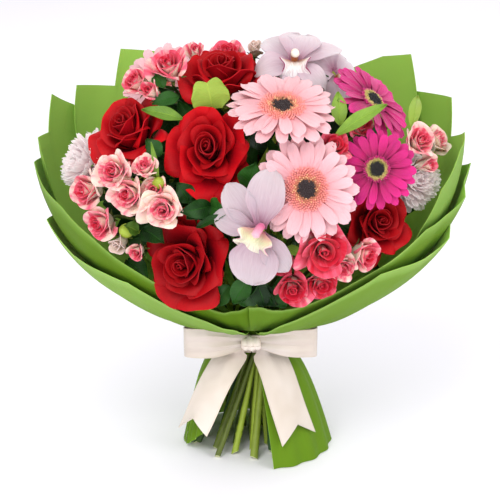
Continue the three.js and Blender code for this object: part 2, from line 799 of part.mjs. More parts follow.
// A spray: one stem to a fork, and a thin branch from the fork to each small bloom.
function buildSprays() {
  for (const { name, blooms } of SPRAYS) {
    const heads = blooms.map(([across, rise, yaw, pitch, width, deep, far]) => {
      const axis = facing(yaw, pitch);
      const base = onDome(across, rise, deep, far).addScaledVector(axis, -width * 0.7);
      return { base, axis, width };
    });
    const fork = new THREE.Vector3();
    heads.forEach(({ base, axis }) => fork.add(base).addScaledVector(axis, -26));
    fork.divideScalar(heads.length);
    fork.lerp(vector(0, 0, fork.z - 30), 0.16);
    const stem = joinBundle({ name, neck: fork, radius: 2.5, colour: COLOURS.sprayPink, rank: RANK.spray });
    const parts = [];
    heads.forEach(({ base, axis, width }, n) => {
      parts.push(placed(sprayBloom(width, width < BUD_WIDTH), placement(base, axis, 77 * n)));
      const bend = base.clone().addScaledVector(axis, -14);
      const curve = new THREE.CatmullRomCurve3([fork, bend, base.clone().addScaledVector(axis, 2)]);
      const route = curve.getPoints(2);
      parts.push(loft(route, [2, 1.3, 1.3], 3));
    });
    stem.fused = fuse(parts);
  }
}

function sprayBloom(width, bud) {
  const scale = width / 86;
  if (bud) return lobedHeart(scale, [[6, 2]], [[27, 48, 60], [12, 76, 66]], 3);
  return lobedHeart(scale, [[9, 3]], [[42, 46, 36], [22, 60, 46]], 3);
}

// Leafy stems: leaves that fan out from one fork, which lies a depth below the dome, to tips near it

const FOLIAGE = [
  {
    name: "foliage_left",
    fork: [-38, 43, 17],
    leaves: [[-20, 36, 22, 4], [-66, 38, 18, 6]],
  },
  {
    name: "foliage_heart_leaf",
    heart: true,
    fork: [-36, 134, 22],
    leaves: [[-41, 154, 32, 8]],
  },
  {
    name: "foliage_right",
    fork: [94, 124, 28],
    leaves: [[83, 146, 18, 2], [100, 140, 18, -8]],
  },
  {
    name: "foliage_low",
    fork: [12, -30, 34],
    leaves: [[-12, -48, 26, 4], [28, -52, 22, 2]],
  },
  {
    name: "foliage_back",
    fork: [-16, 58, -30, true],
    leaves: [[-58, 60, 38, -26], [30, 54, 36, -26], [-34, 32, 34, -26], [8, 30, 32, -26]],
  },
];

function leafBlade(from, to, halfWidth, heart) {
  const along = to.clone().sub(from);
  const out = from.clone().add(to).multiplyScalar(0.5).sub(DOME_CENTRE).divide(DOME_RADII);
  out.divide(DOME_RADII).normalize();
  const side = along.clone().cross(out).normalize();
  const face = side.clone().cross(along).normalize();
  return (u, v) => {
    const outline = heart
      ? Math.sin(Math.PI * Math.min(1, 0.2 + 0.72 * v)) ** 0.6
      : Math.sin(Math.PI * (0.06 + 0.9 * v)) ** 0.9;
    const notch = heart ? 0.16 * (1 - Math.abs(u)) * v ** 4 : 0;
    return from
      .clone()
      .addScaledVector(along, v - notch)
      .addScaledVector(side, u * halfWidth * outline)
      .addScaledVector(face, 0.1 * along.length() * Math.sin(Math.PI * v) + 0.22 * halfWidth * u * u);
  };
}

function buildFoliage() {
  for (const { name, leaves, heart, fork } of FOLIAGE) {
    const [across, rise, deep, far] = fork;
    const root = onDome(across, rise, deep, far);
    const colour = heart ? COLOURS.limeLeaf : COLOURS.leaf;
    const stem = joinBundle({ name, neck: root, radius: 1.9, colour, rank: RANK.leaf });
    const blades = leaves.map(([x, r, width, lift]) => {
      const tip = onDome(x, r, 0, far);
      tip.addScaledVector(tip.clone().sub(DOME_CENTRE).normalize(), lift);
      return blade(leafBlade(root, tip, width / 2, heart), 2, 3, PETAL);
    });
    stem.fused = fuse(blades);
  }
}

// The wrap

function wrapPoint(degrees, t, offset) {
  let radius = WAIST_RADIUS;
  let height = NECK_BOTTOM;
  let depth = 1;
  let normal = new THREE.Vector2(1, 0);
  if (t > 0) {
    const at = BOWL.getPoint(t);
    const tangent = BOWL.getTangent(t);
    radius = at.x;
    height = at.y;
    depth = mix(1, BOWL_DEPTH, smooth(t / 0.45));
    normal.set(tangent.y + 1 - smooth(t / 0.1), -tangent.x).normalize();
  } else {
    const s = (-t - NECK_SHARE) / (1 - NECK_SHARE);
    const at = SKIRT.getPoint(s);
    radius = at.x;
    height = at.y;
  }
  const room = offset * mix(NECK_CLOSE, 1, smooth((t > 0 ? t : -t - NECK_SHARE) / 0.3));
  radius += normal.x * room;
  height = Math.max(height + normal.y * room, 0.4);
  const angle = radians(degrees);
  return vector(radius * Math.cos(angle), depth * radius * Math.sin(angle), height);
}

// Each sheet: its upper outline as degrees round the bouquet (0 right, 90 back), height on the bowl and,
// at some corners, how far it flares out. Its layer is how far out it lies at the first and last edge.
const SHEETS = [
  {
    name: "wrap_sheet_left_front",
    outline: [
      [262, 0.1], [250, 0.3], [238, 0.44], [228, 0.55], [216, 0.585], [205, 0.6, 4], [200, 0.695, 6],
      [188, 0.68], [176, 0.6],
    ],
    layer: [4, 7],
  },
  {
    name: "wrap_sheet_left",
    outline: [
      [262, 0.1], [257, 0.33], [249, 0.42], [240, 0.51], [231, 0.59], [220, 0.68], [208, 0.75],
      [195, 0.78], [184, 0.82, 3], [172, 0.81], [160, 0.7],
    ],
    layer: [-4, 0],
  },
  {
    name: "wrap_sheet_left_back",
    outline: [[181, 0.81], [180, 0.885], [168, 0.84], [163, 0.905], [149, 0.88], [140, 0.84], [130, 0.78]],
    layer: [-9, -4.5],
  },
  {
    name: "wrap_sheet_back_left",
    outline: [[150, 0.88], [148, 0.93], [132, 0.89], [128, 0.975], [118, 0.94], [105, 0.9], [93, 0.86]],
    layer: [-13, -9],
  },
  {
    name: "wrap_sheet_right_front",
    outline: [
      [-82, 0.1], [-70, 0.3], [-59, 0.44], [-49, 0.555], [-40, 0.58], [-30, 0.6, 2], [-17, 0.655, 9],
      [-6, 0.62], [4, 0.54],
    ],
    skirt: [-74, 6],
    layer: [4, 7],
  },
  {
    name: "wrap_sheet_right",
    outline: [
      [-82, 0.1], [-75, 0.33], [-66, 0.43], [-55, 0.53], [-44, 0.61], [-33, 0.695], [-22, 0.71],
      [-11, 0.75, 6], [-8, 0.78], [-4, 0.82, 2], [8, 0.79], [20, 0.7],
    ],
    layer: [-4, 0],
  },
  {
    name: "wrap_sheet_right_back",
    outline: [
      [-31, 0.68], [-27, 0.79], [-15, 0.865], [-2, 0.885], [16.4, 0.845], [17.6, 0.93], [37, 0.895],
      [50, 0.84],
    ],
    skirt: [2, 54],
    layer: [-9, -4.5],
  },
  {
    name: "wrap_sheet_back_right",
    outline: [[34, 0.88], [38, 0.985], [48, 0.97], [57, 0.955], [66, 0.93], [77, 0.89], [87, 0.86]],
    layer: [-13, -9],
  },
  {
    name: "wrap_sheet_back",
    outline: [[56, 0.78], [68, 0.86], [79, 0.8], [90, 0.76], [101, 0.8], [112, 0.86], [124, 0.78]],
    skirt: [48, 186],
    layer: [9, 9],
  },
];
const SKIRT_ROWS = 4;
const BOWL_ROWS = 5;

function buildWrap() {
  for (const { name, outline, skirt, layer } of SHEETS) {
    const last = outline.length - 1;
    const rows = BOWL_ROWS + 1 + (skirt ? SKIRT_ROWS : 0);
    const surface = (u, v) => {
      const share = (u + 1) / 2;
      const [degrees, top, flare] = outline[Math.round(share * last)];
      const row = Math.round(v * rows) - (rows - BOWL_ROWS);
      const offset = mix(layer[0], layer[1], share);
      if (row >= 0) {
        const t = top * (row / BOWL_ROWS) ** 0.9;
        return wrapPoint(degrees, Math.max(t, 1e-3), offset + (flare ?? 0) * (row / BOWL_ROWS) ** 4);
      }
      if (!skirt) return wrapPoint(degrees, -NECK_SHARE, offset);
      const fall = (-1 - row) / SKIRT_ROWS;
      const flutes = -1.4 * Math.sin(share * Math.PI * last) * fall;
      const lower = mix(degrees, mix(skirt[0], skirt[1], share), fall ** 0.7);
      return wrapPoint(lower, mix(-NECK_SHARE, -1, fall), offset * mix(1, 0.4, fall) + flutes);
    };
    add(name, blade(surface, last, rows, PAPER), COLOURS.paper, RANK.paper, null, 0.75);
  }
}

// The ribbon bow: band, knot, two loops and two swallow-tailed ends, all one ribbon

const BAND_RADIUS = WAIST_RADIUS + 3.25;
const KNOT = vector(-1, -(BAND_RADIUS + 5), 115);

function ribbonLoop(side, reach) {
  const path = new THREE.CatmullRomCurve3([
    vector(KNOT.x, KNOT.y - 1, KNOT.z),
    vector(KNOT.x + side * reach * 0.45, KNOT.y - 10, KNOT.z + 3),
    vector(KNOT.x + side * reach * 0.9, KNOT.y - 9, KNOT.z + 3),
    vector(KNOT.x + side * reach, KNOT.y - 3, KNOT.z + 2.5),
    vector(KNOT.x + side * reach * 0.88, KNOT.y + 1, KNOT.z + 2),
    vector(KNOT.x + side * reach * 0.45, KNOT.y + 1, KNOT.z + 1),
    vector(KNOT.x, KNOT.y + 2, KNOT.z),
  ]);
  return blade(
    (u, v) => {
      const at = path.getPoint(v);
      const open = smooth(Math.sin(Math.PI * v) * 1.35);
      at.z += u * mix(6, RIBBON_WIDTH / 2 - 2.5, open) - 2 * open;
      return at;
    },
    2,
    8,
    RIBBON_THICKNESS,
  );
}

// The skirt's radius at a height.
function skirtRadius(height) {
  let [low, high] = [0, 1];
  for (let k = 0; k < 20; k++) {
    const s = (low + high) / 2;
    if (SKIRT.getPoint(s).y > height) low = s;
    else high = s;
  }
  return SKIRT.getPoint(low).x;
}

function ribbonTail(side, reachDegrees, bottom) {
  return blade(
    (u, v) => {
      const fall = v * (1 - 0.09 * (1 - Math.abs(u)) * v);
      const z = mix(KNOT.z - 3, bottom, fall);
      const radius = Math.max(skirtRadius(z) + TAIL_LIFT, BAND_RADIUS + 3);
      const width = mix(5, RIBBON_WIDTH / 2, smooth(v * 2.2));
      const degrees = -90 + side * reachDegrees * v ** 0.8;
      const angle = radians(degrees) + (u * width * side) / radius;
      const at = vector(radius * Math.cos(angle), radius * Math.sin(angle), z);
      return at;
    },
    2,
    5,
    RIBBON_THICKNESS,
  );
}

function buildRibbon() {
  const band = turnedSolid(
    [
      [BAND_RADIUS, KNOT.z - BAND_HEIGHT / 2],
      [BAND_RADIUS + RIBBON_THICKNESS, KNOT.z - BAND_HEIGHT / 2],
      [BAND_RADIUS + RIBBON_THICKNESS, KNOT.z + BAND_HEIGHT / 2],
      [BAND_RADIUS, KNOT.z + BAND_HEIGHT / 2],
      [BAND_RADIUS, KNOT.z - BAND_HEIGHT / 2],
    ],
    15,
  );
  const knot = new THREE.SphereGeometry(1, 8, 5);
  knot.scale(10.5, 6.5, 8);
  knot.translate(KNOT.x, KNOT.y, KNOT.z);
  add(
    "ribbon_bow",
    fuse([
      band,
      solidFrom(knot),
      ribbonLoop(-1, 65),
      ribbonLoop(1, 64),
      ribbonTail(-1, 52, 30),
      ribbonTail(1, 43, 21),
    ]),
    COLOURS.ribbon,
    RANK.paper,
    null,
    0.35,
  );
}

function buildTie() {
  const reach = Math.max(...bundle.map((stem) => stem.waist.length() + stem.radius * 1.04));
  const inner = reach + CLEARANCE;
  add(
    "stem_tie",
    turnedSolid(
      [
        [inner, TIE_HEIGHT - TIE_WIDTH / 2],
        [inner + TIE_THICKNESS, TIE_HEIGHT - TIE_WIDTH / 2],
        [inner + TIE_THICKNESS, TIE_HEIGHT + TIE_WIDTH / 2],
        [inner, TIE_HEIGHT + TIE_WIDTH / 2],
        [inner, TIE_HEIGHT - TIE_WIDTH / 2],
      ],
      16,
    ),
    COLOURS.tie,
    RANK.stem,
    null,
    0.8,
  );
}

function buildStem(stem) {
  const stalk = stemSolid(stem, 0);
  const room = stemSolid(stem, CLEARANCE);
  const { name, fused, rank } = stem;
  if (!fused) add(name, stalk, COLOURS.stem, RANK.stem, room);
  else {
    const keepOut = rank === RANK.bloom ? fuse([envelope(fused), room]) : null;
    add(name, fuse([stalk, fused]), stem.colour, rank, keepOut);
  }
}

buildRoses();
buildGerberas();
buildOrchids();
buildChrysanthemums();
buildSprays();
buildFoliage();
packBundle();
for (const stem of bundle) buildStem(stem);
buildTie();
buildRibbon();
buildWrap();
cutOverlaps();

const box = new THREE.Box3();
for (const { solid } of solids.values()) {
  const { min, max } = solid.boundingBox();
  box.union(new THREE.Box3(vector(...min), vector(...max)));
}
const middle = box.getCenter(new THREE.Vector3());

const meshes = new THREE.Group();
meshes.position.set(-middle.x, -middle.y, -box.min.z);
bouquet.add(meshes);
for (const [name, { solid, colour, roughness }] of solids) {
  const { vertProperties, triVerts } = solid.getMesh();
  const geometry = new THREE.BufferGeometry();
  geometry.setAttribute("position", new THREE.BufferAttribute(vertProperties, 3));
  geometry.setIndex(new THREE.BufferAttribute(triVerts, 1));
  const mesh = new THREE.Mesh(geometry, new THREE.MeshStandardMaterial({ color: colour, roughness }));
  mesh.name = name;
  meshes.add(mesh);
}

export default bouquet;
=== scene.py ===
# Looks of a hand-tied mixed bouquet in a folded paper wrap with a satin bow.
# Shapes are worked out in millimetres round the bouquet's own axis and turned to metres in each mesh.
import math

import bpy
import numpy as np
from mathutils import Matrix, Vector


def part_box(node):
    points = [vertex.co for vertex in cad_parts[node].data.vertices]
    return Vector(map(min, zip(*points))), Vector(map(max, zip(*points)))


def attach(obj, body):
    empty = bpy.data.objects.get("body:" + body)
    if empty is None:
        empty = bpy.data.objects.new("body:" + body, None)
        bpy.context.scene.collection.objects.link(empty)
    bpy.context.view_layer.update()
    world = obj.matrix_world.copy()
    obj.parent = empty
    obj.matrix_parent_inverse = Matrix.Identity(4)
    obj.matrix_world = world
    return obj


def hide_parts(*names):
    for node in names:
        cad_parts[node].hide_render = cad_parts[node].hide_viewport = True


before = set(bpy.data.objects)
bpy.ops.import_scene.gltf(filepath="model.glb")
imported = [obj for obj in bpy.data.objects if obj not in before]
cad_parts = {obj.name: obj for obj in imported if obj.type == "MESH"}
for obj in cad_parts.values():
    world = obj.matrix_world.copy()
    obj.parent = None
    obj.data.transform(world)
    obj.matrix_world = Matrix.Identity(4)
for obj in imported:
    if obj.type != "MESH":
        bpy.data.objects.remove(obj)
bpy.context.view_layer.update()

MM = 0.001
SEED = 11
FULL_TURN = 2 * math.pi
GOLDEN_ANGLE = 2.39996

# The bouquet's axis, which is the middle of the tie
tie_low, tie_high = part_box("stem_tie")
AXIS_SHIFT = np.array([(tie_low.x + tie_high.x) / 2, (tie_low.y + tie_high.y) / 2, 0.0]) / MM

# The bundle of stems. It turns round the axis by so much for each millimetre of height, less below the tie,
# and the stems are pulled in and pushed apart, then only pushed apart for the last passes
TIE_HEIGHT = 118
TURN_BELOW = 0.0284
TURN_ABOVE = 0.085
TURN_EASE = 40
STEM_GAP = 0.5
STEM_SPREAD = 1.06
BUNDLE_PASSES = 420
BUNDLE_PULL = 0.985
FREE_PASSES = 90
CLEARANCE = 0.35
NECK_LENGTH = 24
NECK_DROP = 9
FOOT_SWELL = 0.24
FOOT_SWELL_TOP = 96

# The flower dome and the view that the places of the blooms are measured in
DOME_CENTRE = np.array([0.0, 0.0, 263.0])
DOME_RADII = np.array([184.0, 140.0, 150.0])
VIEW_TILT = math.radians(18)
VIEW_DISTANCE = 2000
VIEW_CENTRE = np.array([-2.0, 0.0, 201.0])
VIEW_WIDTH = 490
VIEW_AHEAD = np.array([0, math.cos(VIEW_TILT), -math.sin(VIEW_TILT)])
VIEW_ABOVE = np.array([0, math.sin(VIEW_TILT), math.cos(VIEW_TILT)])

# The wrap: a bowl above its neck and a skirt below it
WAIST_RADIUS = 26.5
NECK_TOP = 127
NECK_BOTTOM = 104
NECK_CLOSE = 0.2
NECK_SHARE = 0.1
BOWL_DEPTH = 0.76
BOWL = np.array([[WAIST_RADIUS, NECK_TOP], [105, 146], [240, 196], [206, 380]], float)
SKIRT = np.array([[WAIST_RADIUS, NECK_BOTTOM], [44, 95], [60, 56], [76, 0.4]], float)
PAPER_THICKNESS = 0.7
BOWL_ROWS = 26
SKIRT_ROWS = 14
SHEET_COLUMNS = 7
# How light the outer face of a sheet is painted below its rim, and at the hem of its skirt: painted shade
# where that face lies in shadow
OUTSIDE_PAINTED_SHADE = {"left": 0.66, "right": 0.7, "left_front": 0.92, "right_front": 0.74}
SKIRT_PAINTED_SHADE = 0.57

# The ribbon
RIBBON_WIDTH = 38
RIBBON_THICKNESS = 0.8
BAND_RADIUS = WAIST_RADIUS + 3.25
BAND_HEIGHT = 18
KNOT = np.array([-1.0, -(BAND_RADIUS + 8), 119.5])


# Numbers and vectors

def vec(*values):
    return np.array(values, float)


def unit(vector):
    return vector / max(np.linalg.norm(vector), 1e-9)


def mix(a, b, share):
    return a + (b - a) * share


def smooth(value):
    value = np.clip(value, 0, 1)
    return value * value * (3 - 2 * value)


def peak(value, centre, width):
    """One at the centre and next to nothing two widths away."""
    return np.exp(-(((value - centre) / width) ** 2))


def points_of(x, y, z):
    return np.stack(np.broadcast_arrays(x, y, z), -1)


def polar(radius, angle, height):
    return points_of(radius * np.cos(angle), radius * np.sin(angle), height)


def bezier(points, share):
    share = np.asarray(share, float)[..., None]
    rest = 1 - share
    a, b, c, d = points
    return rest**3 * a + 3 * rest**2 * share * b + 3 * rest * share**2 * c + share**3 * d


def bezier_slope(points, share):
    share = np.asarray(share, float)[..., None]
    a, b, c, d = points
    slope = (1 - share) ** 2 * (b - a) + 2 * (1 - share) * share * (c - b) + share**2 * (d - c)
    return slope / np.linalg.norm(slope, axis=-1, keepdims=True)


def along(points, count):
    """Points on a smooth curve through the given ones, count to each stretch."""
    points = [np.asarray(p, float) for p in points]
    ends = [2 * points[0] - points[1]] + points + [2 * points[-1] - points[-2]]
    found = []
    for k in range(1, len(ends) - 2):
        p0, p1, p2, p3 = ends[k - 1:k + 3]
        for t in np.linspace(0, 1, count, endpoint=False):
            a = 2 * p1 + (p2 - p0) * t + (2 * p0 - 5 * p1 + 4 * p2 - p3) * t**2
            found.append((a + (3 * p1 - p0 - 3 * p2 + p3) * t**3) / 2)
    return np.array(found + [points[-1]])


# Shapes

class Shape:
    """Quads gathered from grids of points. Each point has marks: across, along, tone and shade."""

    def __init__(self):
        self.points, self.quads, self.marks, self.outer = [], [], [], []
        self.total = 0

    def take(self, points, quads, outer, *marks):
        """Adds a grid of points, its quads, how far each point is on an outer face, and its marks."""
        size = points.shape[:-1]
        self.points.append(points.reshape(-1, 3))
        self.quads.append(quads + self.total)
        self.marks.append(np.stack([np.broadcast_to(mark, size).ravel() for mark in marks], -1))
        self.outer.append(np.broadcast_to(outer, size).ravel())
        self.total += len(self.points[-1])

    def sheet(self, grid, tone=0.5, shade=1.0, thickness=0.5, length=None):
        """A thin closed sheet about a grid of rows of points."""
        rows, columns = grid.shape[:2]
        if length is None:
            length = np.linspace(0, 1, rows)[:, None]
        normal = np.cross(np.gradient(grid, axis=1), np.gradient(grid, axis=0))
        normal *= thickness / 2 / np.maximum(np.linalg.norm(normal, axis=2, keepdims=True), 1e-9)
        size = rows * columns
        ids = np.arange(size).reshape(rows, columns)
        rim = np.concatenate([ids[0, :-1], ids[:-1, -1], ids[-1, :0:-1], ids[:0:-1, 0]])
        after = np.roll(rim, -1)
        face = np.stack([ids[:-1, :-1], ids[:-1, 1:], ids[1:, 1:], ids[1:, :-1]], -1).reshape(-1, 4)
        side = np.stack([after, rim, rim + size, after + size], -1)
        quads = np.concatenate([face, face[:, [0, 3, 2, 1]] + size, side])
        both = np.stack([grid + normal, grid - normal])
        self.take(both, quads, vec(1, 0)[:, None, None], np.linspace(-1, 1, columns), length, tone, shade)

    def tube(self, route, radii, sides=8, tone=0.5, shade=1.0, cut=None):
        """A closed tube along a route, with its first two rings slanted to face the cut's direction."""
        rows = len(route)
        heading = np.gradient(route, axis=0)
        heading /= np.maximum(np.linalg.norm(heading, axis=1, keepdims=True), 1e-9)
        side = vec(1, 0, 0) if abs(heading[0][0]) < 0.9 else vec(0, 1, 0)
        angles = np.arange(sides) * FULL_TURN / sides
        rings = []
        for point, ahead, radius in zip(route, heading, np.broadcast_to(radii, rows)):
            side = unit(side - ahead * side.dot(ahead))
            spokes = np.cos(angles)[:, None] * side + np.sin(angles)[:, None] * np.cross(ahead, side)
            ring = point + radius * spokes
            if cut is not None and len(rings) < 2:
                ring = ring + ((point - ring) @ cut / ahead.dot(cut))[:, None] * ahead
            rings.append(ring)
        ids = np.arange(rows * sides).reshape(rows, sides)
        turned = np.roll(ids, -1, axis=1)
        quads = [np.stack([ids[:-1], turned[:-1], turned[1:], ids[1:]], -1).reshape(-1, 4)]
        for ring, order in ((ids[0], -1), (ids[-1], 1)):
            for k in range(0, sides - 2, 2):
                quads.append(ring[[0, k + 1, k + 2, (k + 3) % sides]][None, ::order])
        length = np.linspace(0, 1, rows)[:, None]
        self.take(np.array(rings), np.concatenate(quads), 1.0, np.cos(angles), length, tone, shade)

    def piece(self, name, material, slot, *nodes):
        """The mesh object made of all that was gathered, in place of the solids it stands for."""
        points = (np.concatenate(self.points) + AXIS_SHIFT) * MM
        points[:, 2] = np.maximum(points[:, 2], 0.0)
        quads = np.concatenate(self.quads)
        mesh = bpy.data.meshes.new(name)
        mesh.vertices.add(len(points))
        mesh.vertices.foreach_set("co", points.ravel())
        mesh.loops.add(quads.size)
        mesh.loops.foreach_set("vertex_index", quads.ravel())
        mesh.polygons.add(len(quads))
        mesh.polygons.foreach_set("loop_start", np.arange(0, quads.size, 4))
        mesh.update(calc_edges=True)
        marks = mesh.attributes.new("marks", "FLOAT_COLOR", "POINT")
        marks.data.foreach_set("color", np.concatenate(self.marks).ravel())
        outer = mesh.attributes.new("outer", "FLOAT", "POINT")
        outer.data.foreach_set("value", np.concatenate(self.outer))
        mesh.shade_smooth()
        mesh.set_sharp_from_angle(angle=math.radians(55))
        mesh.materials.append(material)
        made = bpy.data.objects.new(name, mesh)
        bpy.context.scene.collection.objects.link(made)
        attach(made, "root")
        if nodes:
            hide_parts(*nodes)
        return made


# Materials

def srgb(*colour):
    """A colour of 0 to 255 as light amounts."""
    return tuple(((c / 255 + 0.055) / 1.055) ** 2.4 if c > 10 else c / 3295 for c in colour) + (1.0,)


class Value:
    """An output of a material's node. Arithmetic with it adds maths nodes."""

    def __init__(self, paint, socket):
        self.paint = paint
        self.socket = socket

    def __add__(self, other):
        return self.paint.maths("ADD", self, other)

    def __sub__(self, other):
        return self.paint.maths("SUBTRACT", self, other)

    def __rsub__(self, other):
        return self.paint.maths("SUBTRACT", other, self)

    def __mul__(self, other):
        return self.paint.maths("MULTIPLY", self, other)

    def __pow__(self, other):
        return self.paint.maths("POWER", self, other)

    def __abs__(self):
        return self.paint.maths("ABSOLUTE", self)

    def __gt__(self, other):
        return self.paint.maths("GREATER_THAN", self, other)

    def __lt__(self, other):
        return self.paint.maths("LESS_THAN", self, other)


class Paint:
    """A material's node tree, with one call for each node."""

    def __init__(self, name, **look):
        self.material = bpy.data.materials.new(name)
        self.material.use_nodes = True
        self.tree = self.material.node_tree
        self.shader = self.tree.nodes["Principled BSDF"]
        for socket, value in look.items():
            self.shader.inputs[socket.replace("_", " ")].default_value = value
        marks = self.node("ShaderNodeAttribute", attribute_name="marks")
        parts = self.node("ShaderNodeSeparateColor", Color=Value(self, marks.outputs["Color"]))
        self.across, self.length, self.tone = (Value(self, output) for output in parts.outputs)
        self.shade = Value(self, marks.outputs["Alpha"])
        self.outer = self.value("ShaderNodeAttribute", "Fac", attribute_name="outer")

    def plug(self, socket, value):
        if isinstance(value, Value):
            self.tree.links.new(value.socket, socket)
        else:
            socket.default_value = value

    def node(self, kind, **settings):
        """A new node. Small letters name its properties, capitals its inputs, or I with a number."""
        made = self.tree.nodes.new(kind)
        for key, value in settings.items():
            if key[0].islower():
                setattr(made, key, value)
            else:
                self.plug(made.inputs[int(key[1:]) if key[1:].isdigit() else key.replace("_", " ")], value)
        return made

    def value(self, kind, output=0, **settings):
        return Value(self, self.node(kind, **settings).outputs[output])

    def maths(self, operation, a, b=0.0, clamp=False):
        return self.value("ShaderNodeMath", operation=operation, use_clamp=clamp, I0=a, I1=b)

    def rest(self, amount):
        """What is left of one, and no less than nothing."""
        return self.maths("SUBTRACT", 1.0, amount, clamp=True)

    def where(self):
        return self.value("ShaderNodeTexCoord", "Object")

    def noise(self, where, scale, detail=3.0, rough=0.55):
        return self.value(
            "ShaderNodeTexNoise", "Fac", Vector=where, Scale=scale, Detail=detail, Roughness=rough,
        )

    def streaks(self, across, length, scale, drift=31.0, rough=0.55):
        """Noise in a blade's own coordinates, and another one for each blade."""
        x, y, z = self.across * across, self.length * length, self.tone * drift
        return self.noise(self.value("ShaderNodeCombineXYZ", X=x, Y=y, Z=z), scale, rough=rough)

    def ramp(self, share, *stops):
        """Colours by a share. A stop is its place and a colour of 0 to 255."""
        made = self.node("ShaderNodeValToRGB", Fac=share)
        elements = made.color_ramp.elements
        while len(elements) < len(stops):
            elements.new(0.5)
        for element, (where, *colour) in zip(elements, stops):
            element.position = where
            element.color = srgb(*colour)
        return Value(self, made.outputs["Color"])

    def blend(self, share, a, b, mode="MIX"):
        return self.value("ShaderNodeMix", 2, data_type="RGBA", blend_type=mode, I0=share, I6=a, I7=b)

    def adjust(self, colour, value, saturation=1.0):
        return self.value("ShaderNodeHueSaturation", Color=colour, Value=value, Saturation=saturation)

    def bump(self, height, distance, **under):
        return self.value("ShaderNodeBump", "Normal", Height=height, Distance=distance, Strength=1.0, **under)

    def finish(self, colour, normal=None):
        self.plug(self.shader.inputs["Base Color"], colour)
        if normal is not None:
            self.plug(self.shader.inputs["Normal"], normal)
        return self.material


def petal_paint(name, *stops, veins=26, groove=0.0002, variety=0.22, vein_dark=0.12, depth=0.35, back=None,
                **look):
    """Petals: colour along the petal, tone from petal to petal, and fine veins that run along it. Where the
    shade mark is low, depth paints them darker as painted shade.
    """
    paint = Paint(name, **look)
    streak = paint.streaks(veins / 6, 1.0, 3.0)
    fine = paint.streaks(veins, 2.2, 1.6)
    colour = paint.ramp(paint.length + (streak - 0.5) * 0.3, *stops)
    if back is not None:
        colour = paint.blend(paint.outer * 0.6, colour, back)
    colour = paint.blend(fine * (vein_dark * 2), colour, (0.35, 0.2, 0.25, 1.0), "MULTIPLY")
    # Random tone from petal to petal, times painted shade by the shade mark as far as depth reaches
    value = (paint.tone * variety + (1 - variety / 2)) * (paint.shade * depth + (1 - depth))
    return paint.finish(paint.adjust(colour, value), paint.bump(fine, groove))


def flame_paint(name, *stops, inner=0.56, outer=-0.18, **look):
    """Two-coloured petals on cream: red flames inside and red rims outside, more where shade is high."""
    paint = Paint(name, **look)
    fine = paint.streaks(16.0, 2.0, 1.6)
    swing = (paint.streaks(1.3, 0.5, 2.0, rough=0.5) - 0.5) * 1.15 + (paint.shade * 1.1 - 0.5)
    inside = swing + inner
    outside = swing * 0.8 + (paint.length**6.0 * 0.8 + outer)
    colour = paint.ramp(inside + paint.outer * (outside - inside), *stops)
    colour = paint.blend(fine * 0.16, colour, (0.5, 0.2, 0.25, 1.0), "MULTIPLY")
    return paint.finish(paint.adjust(colour, paint.tone * 0.14 + 0.93), paint.bump(fine, 0.0002))


def leaf_paint(name, deep, light, vein_light=0.45, **look):
    """Leaves: a pale midrib, side veins that slant forward, and mottled green between them."""
    paint = Paint(name, Roughness=0.48, Specular_IOR_Level=0.28, **look)
    side = abs(paint.across)
    wave = abs(paint.maths("SINE", (paint.length * 11.0 - side * 2.6) * math.pi))
    lines = paint.maths("MAXIMUM", paint.rest(wave * 5.0) * 0.5, paint.rest(side * 16.0))
    mottle = paint.noise(paint.where(), 90.0, 4.0)
    green = paint.ramp(mottle * 0.6 + paint.tone * 0.5, (0.25, *deep), (0.85, *light))
    pale = tuple(min(1, c * 2.2) for c in srgb(*light))
    colour = paint.blend(lines * vein_light, green, pale)
    return paint.finish(colour, paint.bump(mottle * 0.3 - lines, 0.0004))


def disc_paint(name, heart, *stops):
    """The small florets of a disc: colour by their place between its middle and its rim."""
    paint = Paint(name, Roughness=0.75, Sheen_Weight=0.3, Sheen_Roughness=0.4)
    colour = paint.ramp(paint.shade + (paint.tone - 0.5) * 0.16, *stops)
    tips = paint.length * (paint.tone > 0.7) * (paint.shade > heart) * (paint.shade < heart + 0.25)
    colour = paint.blend(tips * 0.7, colour, srgb(238, 204, 140))
    return paint.finish(colour, paint.bump(paint.noise(paint.where(), 900.0, 2.0), 0.0003))


def stem_paint(name, young, old):
    """Green stalks: long streaks, a mottled skin and a pale cut end."""
    paint = Paint(name, Roughness=0.45, Specular_IOR_Level=0.4)
    streak = paint.streaks(3.0, 6.0, 2.0, drift=50.0)
    mottle = paint.noise(paint.where(), 260.0, 4.0)
    colour = paint.ramp(streak * 0.3 + paint.tone * 0.8, (0.25, *old), (0.5, 92, 104, 40), (0.78, *young))
    colour = paint.blend(mottle * 0.35, colour, (0.3, 0.32, 0.2, 1.0), "MULTIPLY")
    colour = paint.blend(paint.rest(paint.shade), colour, srgb(222, 226, 176))
    return paint.finish(colour, paint.bump(mottle + streak, 0.0003))


def lip_paint(name, lip, column, streak, streaks, **look):
    """An orchid's lip and column, each with its colours along it. The lip has streaks too."""
    paint = Paint(name, **look)
    fine = paint.streaks(9.0, 1.6, 1.7, drift=0.0)
    lines = paint.maths("MULTIPLY", paint.maths("SUBTRACT", fine, 0.5, clamp=True), 9.0, clamp=True)
    petal = paint.blend(lines * streaks, paint.ramp(paint.length, *lip), streak)
    colour = paint.blend(paint.shade, paint.ramp(paint.length, *column), petal)
    return paint.finish(colour, paint.bump(fine, 0.0002))


